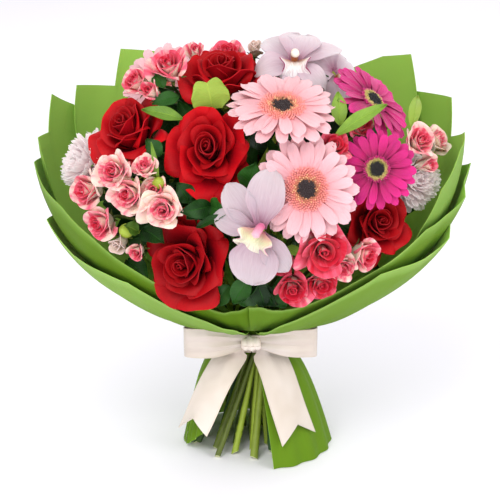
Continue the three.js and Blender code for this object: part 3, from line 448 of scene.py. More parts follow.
def paper_paint():
    """Matt green wrapping paper: short fibres, soft clouds of tone and faint creases. Its inner faces get
    painted light, its outer faces painted shade and a painted rim highlight from the shade mark.
    """
    paint = Paint("wrap_paper", Roughness=0.75, Specular_IOR_Level=0.14, Sheen_Weight=0.02,
                  Subsurface_Weight=0.08, Subsurface_Scale=0.002)
    where = paint.where()
    cloud = paint.noise(where, 9.0)
    fibre = paint.noise(where, 1400.0, 2.0, 0.7)
    crease = paint.value(
        "ShaderNodeTexVoronoi", "Distance", feature="DISTANCE_TO_EDGE", Vector=where, Scale=14.0,
    )
    colour = paint.ramp(cloud * 0.35 + paint.tone * 0.65, (0.25, 108, 145, 46), (0.8, 140, 178, 80))
    colour = paint.blend(fibre * 0.15, colour, srgb(160, 196, 108))
    # Painted light: inner faces 1.7 times lighter. Painted shade: outer faces as light as the shade mark less
    # 0.05, and more saturated where that shade is deep
    light = paint.outer * (paint.shade - 1.75) + 1.7
    painted_shade_saturation = (1.0 - paint.shade) * 0.4 * paint.outer + 1.0
    relief = cloud + paint.rest(crease * 30.0) * 0.05
    normal = paint.bump(relief, 0.0016, Normal=paint.bump(fibre, 0.0002))
    return paint.finish(paint.adjust(colour, light, painted_shade_saturation), normal)


def ribbon_paint():
    """Cream satin: a fine weave along and across, and a firm edge on each side. Each run is painted as light
    as its tone plus a half, which is painted light and shade.
    """
    paint = Paint("ribbon_satin", Roughness=0.36, Specular_IOR_Level=0.55, Sheen_Weight=0.5,
                  Sheen_Roughness=0.25, Anisotropic=0.5)
    weave = paint.maths("SINE", paint.across * 190.0) * paint.maths("SINE", paint.length * 900.0)
    edge = abs(paint.across) > 0.93
    colour = paint.ramp(paint.noise(paint.where(), 30.0, 2.0), (0.3, 214, 200, 187), (0.7, 225, 213, 203))
    colour = paint.blend(edge * 0.25, colour, srgb(206, 186, 160))
    return paint.finish(paint.adjust(colour, paint.tone + 0.5), paint.bump(weave + edge * 1.5, 0.00006))


def make_paints():
    velvet = dict(Roughness=0.6, Sheen_Weight=0.06, Sheen_Roughness=0.4, Sheen_Tint=(1.0, 0.1, 0.2, 1.0),
                  Subsurface_Weight=0.08, Subsurface_Radius=(1.0, 0.05, 0.08), Subsurface_Scale=0.003,
                  Specular_IOR_Level=0.2)
    silk = dict(Roughness=0.5, Sheen_Weight=0.15, Subsurface_Weight=0.2, Subsurface_Radius=(1.0, 0.6, 0.5),
                Subsurface_Scale=0.004, Specular_IOR_Level=0.3)
    chalk = dict(Roughness=0.6, Subsurface_Weight=0.5, Subsurface_Radius=(1.0, 0.8, 0.75),
                 Subsurface_Scale=0.006, Specular_IOR_Level=0.2)
    ray = dict(veins=12, groove=0.0004, depth=0, **silk)
    return {
        # Rose petals are painted dark towards each petal's foot and bright to the rim: painted shade deep in
        # the bloom, as is the darker heart from depth and the shade mark
        "rose": petal_paint(
            "red_rose_petal", (0.0, 64, 0, 26), (0.45, 158, 0, 22), (1.0, 208, 0, 14),
            depth=0.5, vein_dark=0.08, back=srgb(186, 0, 26), **velvet,
        ),
        "spray": flame_paint(
            "spray_rose_petal", (0.0, 250, 234, 208), (0.34, 249, 206, 196), (0.56, 238, 98, 126),
            (0.84, 204, 8, 46), **silk,
        ),
        "cream_bud": petal_paint(
            "cream_bud_petal", (0.0, 214, 222, 150), (0.6, 250, 236, 210), (1.0, 246, 216, 206), **silk,
        ),
        "pale": petal_paint(
            "pale_gerbera_petal", (0.0, 234, 120, 124), (0.25, 240, 168, 174), (1.0, 247, 195, 200),
            variety=0.1, vein_dark=0.14, **ray,
        ),
        "magenta": petal_paint(
            "magenta_gerbera_petal", (0.0, 116, 0, 62), (0.35, 184, 4, 98), (1.0, 216, 22, 128),
            variety=0.34, **ray,
        ),
        "orchid": petal_paint(
            "orchid_tepal", (0.0, 168, 104, 136), (0.3, 202, 176, 188), (1.0, 226, 214, 217),
            veins=14, variety=0.08, vein_dark=0.2, depth=0.5, **silk,
        ),
        "white_lip": lip_paint(
            "orchid_lip_white",
            [(0.0, 160, 90, 44), (0.22, 236, 222, 212), (0.72, 240, 230, 232), (0.86, 142, 16, 80)],
            [(0.0, 190, 120, 70), (0.45, 150, 72, 30), (0.68, 244, 226, 200), (1.0, 250, 240, 226)],
            srgb(146, 16, 80), 0.3, **silk,
        ),
        "green_lip": lip_paint(
            "orchid_lip_green",
            [(0.0, 196, 120, 130), (0.3, 214, 212, 168), (0.8, 236, 228, 214), (1.0, 214, 132, 160)],
            [(0.0, 190, 70, 120), (0.5, 206, 90, 136), (1.0, 236, 190, 200)],
            srgb(206, 150, 140), 0.35, **silk,
        ),
        "mum": petal_paint(
            "chrysanthemum_petal", (0.0, 236, 190, 200), (0.3, 250, 224, 226), (1.0, 252, 240, 238),
            veins=8, variety=0.04, vein_dark=0.03, depth=0, **chalk,
        ),
        "leaf": leaf_paint("leaf", (8, 36, 8), (38, 88, 22)),
        "fresh": leaf_paint("fresh_leaf", (66, 104, 28), (134, 168, 60)),
        "lime": leaf_paint(
            "lime_leaf", (120, 150, 46), (154, 180, 72), 0.18, Subsurface_Weight=0.1, Subsurface_Scale=0.003,
        ),
        "pale_disc": disc_paint(
            "pale_gerbera_disc", 0.44, (0.0, 40, 22, 24), (0.4, 40, 22, 24), (0.48, 190, 120, 84),
            (0.6, 230, 140, 122), (1.0, 240, 156, 152),
        ),
        "magenta_disc": disc_paint(
            "magenta_gerbera_disc", 0.6, (0.0, 14, 9, 12), (0.56, 20, 10, 16), (0.64, 160, 156, 74),
            (0.76, 206, 190, 110), (0.84, 190, 20, 110), (1.0, 214, 30, 130),
        ),
        "stem": stem_paint("stem", (166, 188, 62), (40, 80, 34)),
        "tie": stem_paint("tie", (176, 182, 100), (110, 120, 60)),
        "paper": paper_paint(),
        "ribbon": ribbon_paint(),
    }


# Places of the blooms

def on_dome(across, rise, deep=0, far=False):
    """The point of the dome seen at a place in the front view, then deep further along the line of sight."""
    eye = VIEW_CENTRE - VIEW_AHEAD * VIEW_DISTANCE
    ray = unit(VIEW_CENTRE + VIEW_ABOVE * rise + vec(across, 0, 0) - eye)
    start = (eye - DOME_CENTRE) / DOME_RADII
    step = ray / DOME_RADII
    a = step.dot(step)
    b = start.dot(step)
    inside = max(b * b - a * (start.dot(start) - 1), 0)
    reach = (-b + (1 if far else -1) * math.sqrt(inside)) / a
    return eye + ray * (reach + deep)


def facing(yaw, pitch):
    yaw, pitch = math.radians(yaw), math.radians(pitch)
    return vec(math.cos(pitch) * math.sin(yaw), -math.cos(pitch) * math.cos(yaw), math.sin(pitch))


def bloom_spot(across, rise, yaw, pitch, deep):
    """A bloom's middle and the way it looks. One that looks back stands on the dome's far side."""
    return on_dome(across, rise, deep, abs(yaw) > 90), facing(yaw, pitch)


class Place:
    """A bloom's own coordinates: x to the right, y up and z out of the face."""

    def __init__(self, origin, axis, roll=0.0):
        right = vec(-axis[1], axis[0], 0)
        right = unit(right) if right.dot(right) > 1e-4 else vec(1, 0, 0)
        top = np.cross(axis, right)
        c, s = math.cos(math.radians(roll)), math.sin(math.radians(roll))
        self.basis = np.array([right * c + top * s, top * c - right * s, axis])
        self.origin = origin
        self.axis = axis
        self.stretch = np.ones(3)
        self.lean = np.zeros(2)

    def __call__(self, points):
        points = points * self.stretch
        slid = points[..., :2] + self.lean * points[..., 2:]
        return np.concatenate([slid, points[..., 2:]], -1) @ self.basis + self.origin

    def shaped(self, across=0, rise=0, out=0, lean=(0, 0), stretch=(1, 1, 1)):
        """The same place, moved in the front view and along its axis, leant and stretched."""
        made = Place(self.origin + vec(across, 0, 0) + VIEW_ABOVE * rise + self.axis * out, self.axis)
        made.basis = self.basis
        made.lean = np.array(lean, float)
        made.stretch = np.array(stretch, float)
        return made


bundle = []


def turning(height):
    above = height - TIE_HEIGHT
    if above < 0:
        return TURN_BELOW * above
    eased = min(above, TURN_EASE)
    gain = TURN_ABOVE - TURN_BELOW
    return TURN_BELOW * above + gain * (eased**2 / (2 * TURN_EASE) + max(0, above - TURN_EASE))


def join_bundle(neck, radius, end=None):
    wish = complex(neck[0], neck[1]) / complex(1, turning(neck[2]))
    stem = {"neck": neck, "end": end, "radius": radius, "wish": wish, "waist": wish}
    bundle.append(stem)
    return stem


def pack_bundle():
    """Settles the stems side by side at the tie."""
    for turn in range(BUNDLE_PASSES):
        for stem in bundle:
            stem["waist"] *= BUNDLE_PULL if turn < BUNDLE_PASSES - FREE_PASSES else 1
        for k, one in enumerate(bundle):
            for other in bundle[k + 1:]:
                away = other["waist"] - one["waist"]
                short = (one["radius"] + other["radius"]) * STEM_SPREAD + STEM_GAP - abs(away)
                if short > 0:
                    push = away / max(abs(away), 1e-9) * (short / 2 + 1e-3)
                    other["waist"] += push
                    one["waist"] -= push


def stem_route(stem):
    neck = stem["neck"]
    points = []
    for z in (0, TIE_HEIGHT * 0.5, TIE_HEIGHT, mix(TIE_HEIGHT, neck[2], 0.3), mix(TIE_HEIGHT, neck[2], 0.6)):
        share = smooth((z - TIE_HEIGHT) / (neck[2] - TIE_HEIGHT))
        p = mix(stem["waist"], stem["wish"], share) * complex(1, turning(z))
        points.append(vec(p.real, p.imag, z))
    points.append(neck)
    if stem["end"] is not None:
        points.append(stem["end"])
    return points


def plant(spot, roll, depth, radius, into=0):
    """A bloom's place, and its stem, which ends just short of it or goes into it by so much."""
    centre, axis = bloom_spot(*spot)
    foot = centre - axis * depth
    end = foot - axis * CLEARANCE
    stem = join_bundle(end - axis * NECK_LENGTH - vec(0, 0, NECK_DROP), radius, end + axis * into)
    return Place(foot, axis, roll), stem


def moved(name, place, stem, changes):
    """A bloom's place with its changes, and its stem ending at the place's new foot."""
    if name in TURNED:
        place = Place(place.origin, facing(*TURNED[name]))
    made = place.shaped(**changes)
    return made, dict(stem, end=stem["end"] + made.origin - place.origin)


def draw_stem(shape, stem, rng, rough=0.35):
    """One stalk with slight knuckles along it, cut slantwise at its foot."""
    points = stem_route(stem)
    low = [points[0], mix(points[0], points[1], 0.33), mix(points[0], points[1], 0.66)]
    route = along(low + points[1:], 6)
    count = len(route)
    radii = stem["radius"] * (1 + 0.05 * np.sin(np.linspace(0, 19, count) + rng.uniform(0, 6)))
    for knuckle in rng.choice(np.arange(2, count - 4), 3, replace=False):
        radii[knuckle] *= 1 + rough
    radii[-6:] *= np.linspace(1, 0.86, 6)
    radii *= 1 + FOOT_SWELL * smooth((FOOT_SWELL_TOP - route[:, 2]) / 60)
    route[0] = mix(route[0], route[1], 0.4)
    route = np.insert(route[:-1], 1, mix(route[0], route[1], 0.2), axis=0)
    route[-1] = points[-1]
    turn = rng.uniform(-0.9, 0.9)
    cut_end = (np.arange(count) > 0)[:, None]
    cut = unit(vec(math.sin(turn), -math.cos(turn), -1.3))
    shape.tube(route, radii, 10, rng.uniform(0, 1), cut_end, cut)


def draw_branch(shape, fork, end, straight, radii, tone):
    route = along([fork, end - straight, end], 6)
    shape.tube(route, np.linspace(*radii, len(route)), 8, tone)


def turned_form(shape, place, low, high, radii, sides, tone, shade=1.0):
    """A round form along a bloom's axis, from one height to another."""
    shape.tube(place(points_of(0, 0, np.linspace(low, high, len(radii)))), radii, sides, tone, shade)


# Petals and leaves

def blade_grid(rows, columns):
    """Shares along, as a column, and across, as a row."""
    return np.linspace(0, 1, rows)[:, None], np.linspace(-1, 1, columns)[None]


def widening(v, foot, full):
    """A blade's width, which grows from its foot's share to all of it."""
    return mix(foot, 1, smooth(v / full))


def blunt(v, start, length, power, least):
    """A blade's width where its rounded tip narrows it."""
    return np.sqrt(np.clip(1 - (np.maximum(v - start, 0) / length) ** power, least, 1))


def fan(out, side, angle, rise):
    """A blade's points, laid at an angle round the bloom's axis."""
    c, s = math.cos(angle), math.sin(angle)
    return points_of(out * c - side * s, out * s + side * c, rise)


def slope_walk(slope, length, start_radius, start_height):
    """Radius and height along lines whose slope from upright is given row by row."""
    step = length / (len(slope) - 1)
    out = np.cumsum(np.sin(slope) * step, axis=0)
    up = np.cumsum(np.cos(slope) * step, axis=0)
    return start_radius + out - out[:1], start_height + up - up[:1]


def add_calyx(shape, place, width, rng):
    """Green cup and five narrow sepals behind a rose."""
    size = width / 86
    cup = vec(3.2, 5.0, 6.2, 6.6, 6.4, 5.6) * size
    turned_form(shape, place, -3 * size, 5 * size, cup, 10, rng.uniform(0.3, 0.7))
    v, u = blade_grid(9, 5)
    for n in range(5):
        angle = FULL_TURN * (n + rng.uniform(-0.12, 0.12)) / 5
        slope = np.radians(82 + rng.uniform(10, 50) * v * v - 30 * smooth(v * 2)) + 0 * u
        radius, rise = slope_walk(slope, size * rng.uniform(20, 27), 4.5 * size, 1.5 * size)
        side = u * size * 4.2 * (1 - v) ** 0.7
        sepal = fan(radius, side, angle, rise - 2.5 * size + 0.8 * size * u * u)
        shape.sheet(place(sepal), rng.uniform(0.2, 0.6))


# Three kinds of rose: petals, rows and columns of each, openness, curl of the rims and cut of the corners
RED_ROSE = (24, 15, 19, 1.0, 1.0, 0.16)
SPRAY_ROSE = (18, 11, 15, 0.62, 0.85, 0.3)
SPRAY_BUD = (10, 10, 13, 0.4, 0.7, 0.3)
# A small rose narrower than this is a bud
BUD_WIDTH = 23
MUM_PETALS = 86


def rose_bloom(shape, place, width, turn, shades, kind, rng):
    """Petals in a spiral, tight and upright in the middle, wide and rolled back at the outside."""
    count, rows, columns, openness, curl, corner = kind
    v, u = blade_grid(rows, columns)
    size = width / 2 / (7.5 + 38 * openness)
    rolled = (np.maximum(v - 0.62, 0) / 0.38) ** 2 * (0.1 + 0.9 * np.abs(u) ** 1.4)
    rim_mark = np.maximum(v, np.abs(u) ** 3 * smooth(v * 2.5) * 0.97)
    for n in range(count):
        f = (n / (count - 1)) ** 1.25
        wide = f * openness
        azimuth = math.radians(turn + 137.5 * n) + rng.uniform(-0.15, 0.15)
        foot = math.radians(12 + 52 * wide)
        body = math.radians(-8 + 58 * wide**1.1 + rng.uniform(-5, 5))
        roll = curl * math.radians(16 + 128 * wide**0.75) * rng.uniform(0.7, 1.15)
        slope = mix(foot, body, smooth(v / 0.5)) + roll * rolled
        rim = 1 - rng.uniform(0.1, 0.18) * np.abs(u) ** 2 + 0.03 * peak(u, 0, 0.2) - corner * np.abs(u) ** 7
        length = size * (40 + 7 * f) * rim * rng.uniform(0.95, 1.03)
        radius, height = slope_walk(slope, length, size * (1.2 + 6.3 * wide), size * 5 * (1 - f))
        half = size * (17 + 11 * f) * widening(v, 0.4, 0.6)
        middle = radius[:, columns // 2][:, None]
        spread = np.minimum(half / np.maximum(middle, 0.8 * size), 2.6 - 1.65 * f)
        radius = radius * (1 + (0.17 - 0.06 * f) * u) * (1 + 0.24 * f * u**2)
        wave = np.sin(u * rng.uniform(2.5, 5) + rng.uniform(0, 6)) * v**3 * size * (0.4 + 1.5 * f)
        petal = polar(radius + 0.5 * wave, azimuth + u * spread, height + wave)
        shape.sheet(place(petal), rng.uniform(0, 1), mix(*shades, f), 0.4 + 0.4 * size, rim_mark)


def ray_layer(shape, place, count, start, end, half, lift, slope, droop, turn, rng):
    """Strap petals with blunt tips and two grooves, side by side round a daisy's disc."""
    v, u = blade_grid(13, 9)
    outline = widening(v, 0.42, 0.55) * blunt(v, 0.7, 0.31, 2.4, 0.02)
    groove = 0.05 * np.cos(u * 7.5) * smooth(v * 4) * (1 - 0.5 * v)
    for n in range(count):
        angle = FULL_TURN * (n + turn + rng.uniform(-0.16, 0.16)) / count
        long = (end - start) * rng.uniform(0.93, 1.02)
        wide = half * outline * rng.uniform(0.82, 1.1)
        tilt = math.radians(slope + rng.uniform(-5, 5))
        out = start + long * (v * math.cos(tilt) - 0.03 * peak(np.abs(u), 0.38, 0.16) * v**6)
        side = u * wide + rng.uniform(-0.05, 0.05) * long * v * v
        rise = lift + long * v * math.sin(tilt) - droop * v**2.2 * long + (n % 2) * 0.7
        cup = 0.32 * u * u * (1 - v) + groove + rng.uniform(-0.25, 0.25) * u * v
        twist = 0.12 * np.sin(v * 4 + rng.uniform(0, 6)) * u
        shape.sheet(place(fan(out, side, angle, rise + half * (cup + twist))), rng.uniform(0, 1))


def florets(shape, place, reach, floor, count, collar, heart, rng):
    """The disc: a low dome set with small florets on a sunflower spiral, tallest in the collar."""
    dome = np.sqrt(np.clip(1 - np.linspace(0, 1, 8) ** 2.2, 0.002, 1)) * 0.97
    turned_form(shape, place, floor - 3, floor + heart, reach * dome, 24, 0.4, dome[:, None])
    for n in range(count):
        share = math.sqrt((n + 0.5) / count)
        angle = GOLDEN_ANGLE * n
        tall = mix(heart * 0.3 + 1.2, collar, smooth((share - 0.35) / 0.4)) * rng.uniform(0.8, 1.2)
        lean = 0.5 * smooth((share - 0.6) / 0.4) + rng.uniform(-0.12, 0.12)
        thick = reach * 1.5 / math.sqrt(count) * mix(0.75, 1.0, share)
        foot = polar(reach * share, angle, floor - 1 + heart * (1 - share**2))
        route = foot + np.outer([0, 0.55, 0.9, 1], polar(math.sin(lean), angle, math.cos(lean))) * tall
        shape.tube(place(route), thick * vec(0.6, 0.62, 0.5, 0.12), 6, rng.uniform(0, 1), share)


def tepal_sheet(shape, place, angle, long, half, lift, arch, shade, rng):
    """An orchid's broad petal: narrow foot, full middle, a low midrib and a tip that bends back."""
    v, u = blade_grid(17, 13)
    side = u * half * widening(v, 0.3, 0.5) * blunt(v, 0.45, 0.56, 2.6, 0.01)
    out = 2.5 + long * v * (1 - 0.03 * u * u)
    rib = -0.7 * peak(u, 0, 0.13) * (1 - v)
    bow = arch * long * (0.8 * np.sin(math.pi * v) - 1.6 * v**3)
    wave = 0.07 * np.sin(u * 3 + v * 9 + rng.uniform(0, 6)) * np.abs(u) * smooth(v * 2)
    rise = lift + bow + rib + half * (0.16 * u * u + wave)
    shape.sheet(place(fan(out, side, math.radians(angle), rise)), rng.uniform(0, 1), shade, 0.8)


def orchid_lip(shape, place, reach, rng):
    """A trough with raised side lobes and a frilled front lobe under a curved column."""
    v, u = blade_grid(26, 23)
    lobes = 0.26 + 0.17 * peak(v, 0.3, 0.2) + 0.2 * peak(v, 0.84, 0.17)
    wide = reach * lobes * blunt(v, 0.86, 0.16, 2, 0.08) * widening(v, 0.5, 1 / 6)
    raised = 10.5 * u**2 * peak(v, 0.32, 0.26) - 5 * smooth((v - 0.6) / 0.4) * (0.4 + u * u)
    frill = 1.9 * np.sin(8 * u + 17 * v) * np.abs(u) ** 1.5 * smooth((v - 0.25) / 0.4)
    keel = 1.6 * peak(np.abs(u), 0.16, 0.07) * np.sin(math.pi * np.clip(v / 0.7, 0, 1))
    trough = points_of(u * wide, 1 - reach * 0.56 * v, 11.6 + 16 * v * (1 - v) + raised + frill + keel)
    edge = np.maximum(0.78 * v, np.abs(u) ** 4 * smooth((v - 0.12) / 0.2) * 0.95)
    shape.sheet(place(trough), rng.uniform(0, 1), 1.0, 0.7, np.maximum(edge, smooth((v - 0.85) / 0.15)))
    column = along([(0, 3, 8.5), (0, 4.5, 15), (0, 3.5, 22), (0, -1, 27.5), (0, -5.5, 29)], 5)
    share = np.linspace(0, 1, len(column))
    radii = 3.0 + 0.9 * np.sin(math.pi * share) + 0.6 * smooth((share - 0.7) / 0.2)
    shape.tube(place(column), radii - 2.6 * smooth((share - 0.9) / 0.1), 12, 0.5, 0.0)


def mum_bloom(shape, place, width, rng):
    """Blunt, gently frilled petals all round, level at the rim and upright in the middle."""
    reach = width / 2
    v, u = blade_grid(10, 7)
    outline = u * widening(v, 0.45, 0.5) * blunt(v, 0.72, 0.3, 2.2, 0.05)
    for n in range(MUM_PETALS):
        share = math.sqrt((n + 3) / (MUM_PETALS + 3))
        long = reach * mix(0.4, 0.8, share) * rng.uniform(0.88, 1.08)
        tilt = mix(84, -4, share**1.5) + rng.uniform(-9, 9)
        slope = np.radians(90 - tilt - 30 * (v - 0.3)) + 0 * u
        radius, rise = slope_walk(slope, long, reach * 0.28 * share, mix(11, 3, share**2))
        half = reach * mix(0.07, 0.15, share) * rng.uniform(0.85, 1.15)
        radius = radius - 0.07 * long * peak(u, 0, 0.3) * v**8
        rise = rise + half * (0.45 * u * u + 0.14 * np.sin(u * 5 + n) * v**2)
        shape.sheet(place(fan(radius, half * outline, GOLDEN_ANGLE * n, rise)), rng.uniform(0, 1), 1.0, 0.45)


def leaf(shape, root, tip, half, rng, heart=False, face=None, arch=0.1, rows=16, columns=9):
    """A leaf folded a little along its midrib, with a wavy edge."""
    v, u = blade_grid(rows, columns)
    ahead = tip - root
    side = unit(np.cross(ahead, unit(root - DOME_CENTRE) if face is None else face))
    face = unit(np.cross(side, ahead))
    if heart:
        outline = 0.5 + 0.5 * smooth(v / 0.4) - 0.16 * smooth((v - 0.7) / 0.3)
        notch = (0.17 * (1 - np.abs(u)) ** 2 + 0.34 * np.abs(u) ** 5) * v
        wave, fold = 0.03, 0.1
    else:
        outline = np.sin(math.pi * (0.03 + 0.95 * v**0.85)) ** 0.95
        notch = 0 * u
        wave, fold = 0.1, 0.3
    wave = wave * np.sin(v * 14 + rng.uniform(0, 6)) * np.abs(u) ** 2 * np.sign(u)
    lift = arch * np.linalg.norm(ahead) * np.sin(math.pi * v) + half * (fold * np.abs(u) ** 1.3 + wave)
    along_it, across_it = ahead * (v - notch)[..., None], side * (u * half * outline)[..., None]
    blade = root + along_it + across_it + face * lift[..., None]
    shape.sheet(blade, rng.uniform(0, 1), 1.0, 0.4)


# What the bouquet holds. A bloom's spot is its across, rise, yaw, pitch and depth.

# Roses: spot, width, turn, and how each departs from a round, upright one
ROSES = [
    ("red_rose_1", (-44, 94, -8, 26, 0), 84, 20, dict(rise=5, lean=(0, 0.1), stretch=(0.94, 1.18, 1))),
    ("red_rose_2", (-62, -15, -20, 8, 0), 84, 140,
     dict(across=-5, rise=-1, lean=(-0.12, -0.03), stretch=(1.04, 1.09, 1))),
    ("red_rose_3", (-126, 116, -42, 44, 0), 76, 60,
     dict(across=-3, rise=9, lean=(-0.05, 0.08), stretch=(1, 1.08, 1.06))),
    ("red_rose_4", (-28, 174, -8, 70, 26), 76, 200, dict(rise=9, stretch=(1.16, 1.04, 1.22))),
    ("red_rose_5", (131, 27, 20, 22, 8), 70, 300, dict(rise=2, lean=(0.04, 0), stretch=(1, 1.08, 1))),
    ("red_rose_6", (20, 110, 172, 34, -16), 74, 90, {}),
]
DARK_ROSES = {"red_rose_2", "red_rose_5"}
GERBERAS = [
    ("pale_gerbera_1", (32, 140, 4, 66, -8), 100, dict(rise=6)),
    ("pale_gerbera_2", (56, 60, 5, 20, -10), 98, {}),
    ("pale_gerbera_3", (-92, 166, -35, 56, 70), 80, dict(rise=9, out=-4)),
    ("magenta_gerbera_1", (118, 146, 62, 47, 0), 86, dict(across=7, rise=5)),
    ("magenta_gerbera_2", (125, 80, 2, 22, -12), 74, {}),
]
# The rays' half width as a share of the bloom's, and their count, then the disc's reach as such a share,
# its florets, and how high its collar and its heart stand
GERBERA_KINDS = {"pale": (0.068, 19, 0.2, 340, 3.8, 2.4), "magenta": (0.062, 18, 0.155, 260, 2.6, 3.0)}
# Orchids: spot, width, roll, changes, and each tepal's direction, length and half width
ORCHIDS = [
    ("orchid_1", (44, 182, 2, 52, 16), 84, 0, dict(rise=8),
     [(126, 42, 15), (76, 42, 20), (28, 50, 9), (-45, 36, 12), (-92, 34, 12), (190, 36, 15)]),
    ("orchid_2", (8, 18, -8, 14, -22), 100, -24, dict(out=2),
     [(153, 50, 15), (188, 43, 12), (106, 55, 18), (-30, 42, 13), (-74, 48, 23)]),
    ("orchid_3", (82, 176, 22, 60, 34), 72, 20, dict(rise=9),
     [(90, 38, 17), (165, 36, 14), (18, 32, 12), (-50, 30, 12), (-120, 42, 18)]),
]
MUMS = [
    ("chrysanthemum_left", (-165, 84, -62, 22, 18), 60, dict(across=-2)),
    ("chrysanthemum_right", (172, 68, 58, 24, 30), 56, dict(across=-13, out=16)),
]
# Blooms that look another way than they were planned to
TURNED = {"pale_gerbera_3": (-28, 38), "orchid_3": (46, 42), "chrysanthemum_right": (32, 20)}
# Sprays: how red they are, and each head's across, rise, yaw, pitch, depth and width, then for some
# the shift across and up, the yaw and the scale that they are drawn with
SPRAYS = [
    ("left_upper", 0.32, [
        (-129, 80, -40, 25, -20, 33, -5, -6, -22, 1.06), (-120, 51, -25, 10, -14, 36),
        (-98, 83, -10, 50, -4, 26, -5, -4, -6, 0.92), (-86, 36, -10, 5, -10, 37),
    ]),
    ("left_lower", 0.34, [
        (-158, 54, -70, 10, -6, 31, -4, 1, -48, 1.12), (-145, 20, -60, 0, -8, 29, -3, 2, -38, 1.1),
        (-127, 1, -30, -5, -2, 20, -1, 3, -30, 1.0), (-111, -9, -35, 0, 2, 18, 1, 4, -20, 1.0),
    ]),
    ("top_left", 0.42, [
        (-80, 179, -15, 55, -12, 36), (-113, 163, -50, 45, -6, 30), (-97, 151, -30, 35, -4, 22),
        (-55, 199, -5, 60, 0, 22, 2, -9, -5, 0.85),
    ]),
    ("top", 0.6, [(-22, 200, 0, 65, 30, 32, 0, -9, 0, 1.0), (6, 203, 10, 60, 30, 20, -1, -9, 10, 0.8)]),
    ("right", 0.28, [(165, 111, 30, 35, -10, 30, 3, -6, 30, 1.05), (185, 105, 60, 30, -4, 28)]),
    ("middle", 0.65, [(109, 119, 20, 40, 8, 24), (83, 106, 0, 30, 0, 26, 0, -6, 0, 1.04)]),
    ("lower_middle", 0.6, [
        (74, 0, 8, 5, -12, 42, -1, -5, 8, 1.04), (43, -37, 0, -10, -4, 33, -1, -4, 0, 1.04),
        (70, -37, 10, -15, -4, 31), (31, -16, -5, 0, 6, 25),
    ]),
    ("lower_right", 0.38, [
        (99, -22, 20, -10, -10, 29, -7, 1, 10, 0.92), (118, -17, 35, -5, -14, 30, -3, 8, 45, 1.0),
    ]),
    ("back", 0.5, [(-70, 130, 200, 35, -16, 34), (-95, 90, 215, 20, -16, 32), (90, 120, 150, 30, -16, 34)]),
]
# Small heads beside the planned ones, heads that are cream buds, and green buds with their size last
MORE_HEADS = {
    "left_upper": [(-94, 56, -14, 22, 2, 25)], "right": [(172, 84, 48, 14, 2, 21, 0, -4, 48, 1.0)],
}
CREAM_BUDS = {("left_lower", 2), ("top", 1)}
GREEN_BUDS = {"left_upper": (-90, 66, -10, 35, 4, 12), "left_lower": (-122, 19, -30, 20, 4, 14)}
# Leafy stems: the fork's across, rise and depth, whether it is at the back, and each leaf's across, rise,
# width and lift off the dome
FOLIAGE = [
    ("foliage_left", (-38, 43, 17, False), [(-20, 36, 22, 4), (-66, 38, 18, 6)]),
    ("foliage_heart_leaf", (-36, 134, 22, False), [(-41, 154, 32, 8)]),
    ("foliage_right", (94, 124, 28, False), [(83, 146, 18, 2), (100, 140, 18, -8)]),
    ("foliage_low", (12, -30, 34, False), [(-12, -48, 26, 4), (28, -52, 22, 2)]),
    ("foliage_back", (-16, 58, -30, True),
     [(-58, 60, 38, -26), (30, 54, 36, -26), (-34, 32, 34, -26), (8, 30, 32, -26)]),
]
# The slot of each leaf paint
LEAF_SLOTS = {"leaf": "leaf", "fresh": "leaf", "lime": "lime_leaf"}
# Single leaves seen between the flowers: foot and tip as across, rise and depth, then width and paint
LEAVES = [
    ((-66, 128, 14), (-106, 137, -2), 13, "fresh"), ((84, 112, 0), (134, 142, -32), 14, "fresh"),
    ((88, 122, 8), (86, 155, -6), 15, "fresh"), ((158, 118, 12), (164, 150, 0), 12, "lime"),
    ((-52, 22, 12), (-21, 34, -2), 9, "leaf"), ((-88, 92, 14), (-102, 108, 4), 16, "leaf"),
    ((-90, 70, 6), (-97, 106, -2), 5, "fresh"), ((-110, 18, 14), (-124, 24, -4), 14, "fresh"),
    ((36, 2, 10), (52, -6, -6), 10, "fresh"), ((0, -28, 14), (-16, -52, 4), 20, "leaf"),
    ((6, -30, 18), (14, -54, 8), 22, "leaf"), ((20, -36, 20), (34, -56, 8), 18, "leaf"),
    ((-20, -34, 22), (-34, -54, 12), 20, "leaf"), ((-84, 158, 2), (-94, 172, -8), 14, "leaf"),
    ((-70, 150, 16), (-96, 142, 2), 15, "leaf"), ((-60, 48, 14), (-72, 66, 4), 20, "leaf"),
    ((-40, 44, 22), (-62, 30, 8), 24, "leaf"), ((-24, 40, 22), (-2, 52, 8), 22, "leaf"),
    ((-2, 60, 22), (6, 86, 8), 24, "leaf"), ((0, 74, 24), (10, 52, 8), 20, "leaf"),
    ((-104, 20, 24), (-84, 6, 10), 22, "leaf"), ((-120, -10, 26), (-100, -30, 10), 20, "leaf"),
]


def plan_bundle():
    """Every stem joins the bundle in one order, and the blooms' places come with them."""
    planned = {}
    for name, spot, width, turn, changes in ROSES:
        planned[name] = plant(spot, 0, width * 0.52, 3.1)
    for name, spot, width, changes in GERBERAS:
        planned[name] = plant(spot, 0, 14, 2.8)
    for name, spot, width, roll, changes, tepals in ORCHIDS:
        planned[name] = plant(spot, roll, 22, 2.5, 3)
    for name, spot, width, changes in MUMS:
        planned[name] = plant(spot, 0, 18, 2.3, 3)
    for name, redness, heads in SPRAYS:
        bases = []
        for *spot, width in (head[:6] for head in heads):
            centre, axis = bloom_spot(*spot)
            bases.append(centre - axis * (width * 0.7 + 26))
        fork = np.mean(bases, axis=0)
        planned[name] = join_bundle(mix(fork, vec(0, 0, fork[2] - 30), 0.16), 2.5)
    for name, fork, leaves in FOLIAGE:
        planned[name] = join_bundle(on_dome(*fork), 1.9)
    pack_bundle()
    return planned


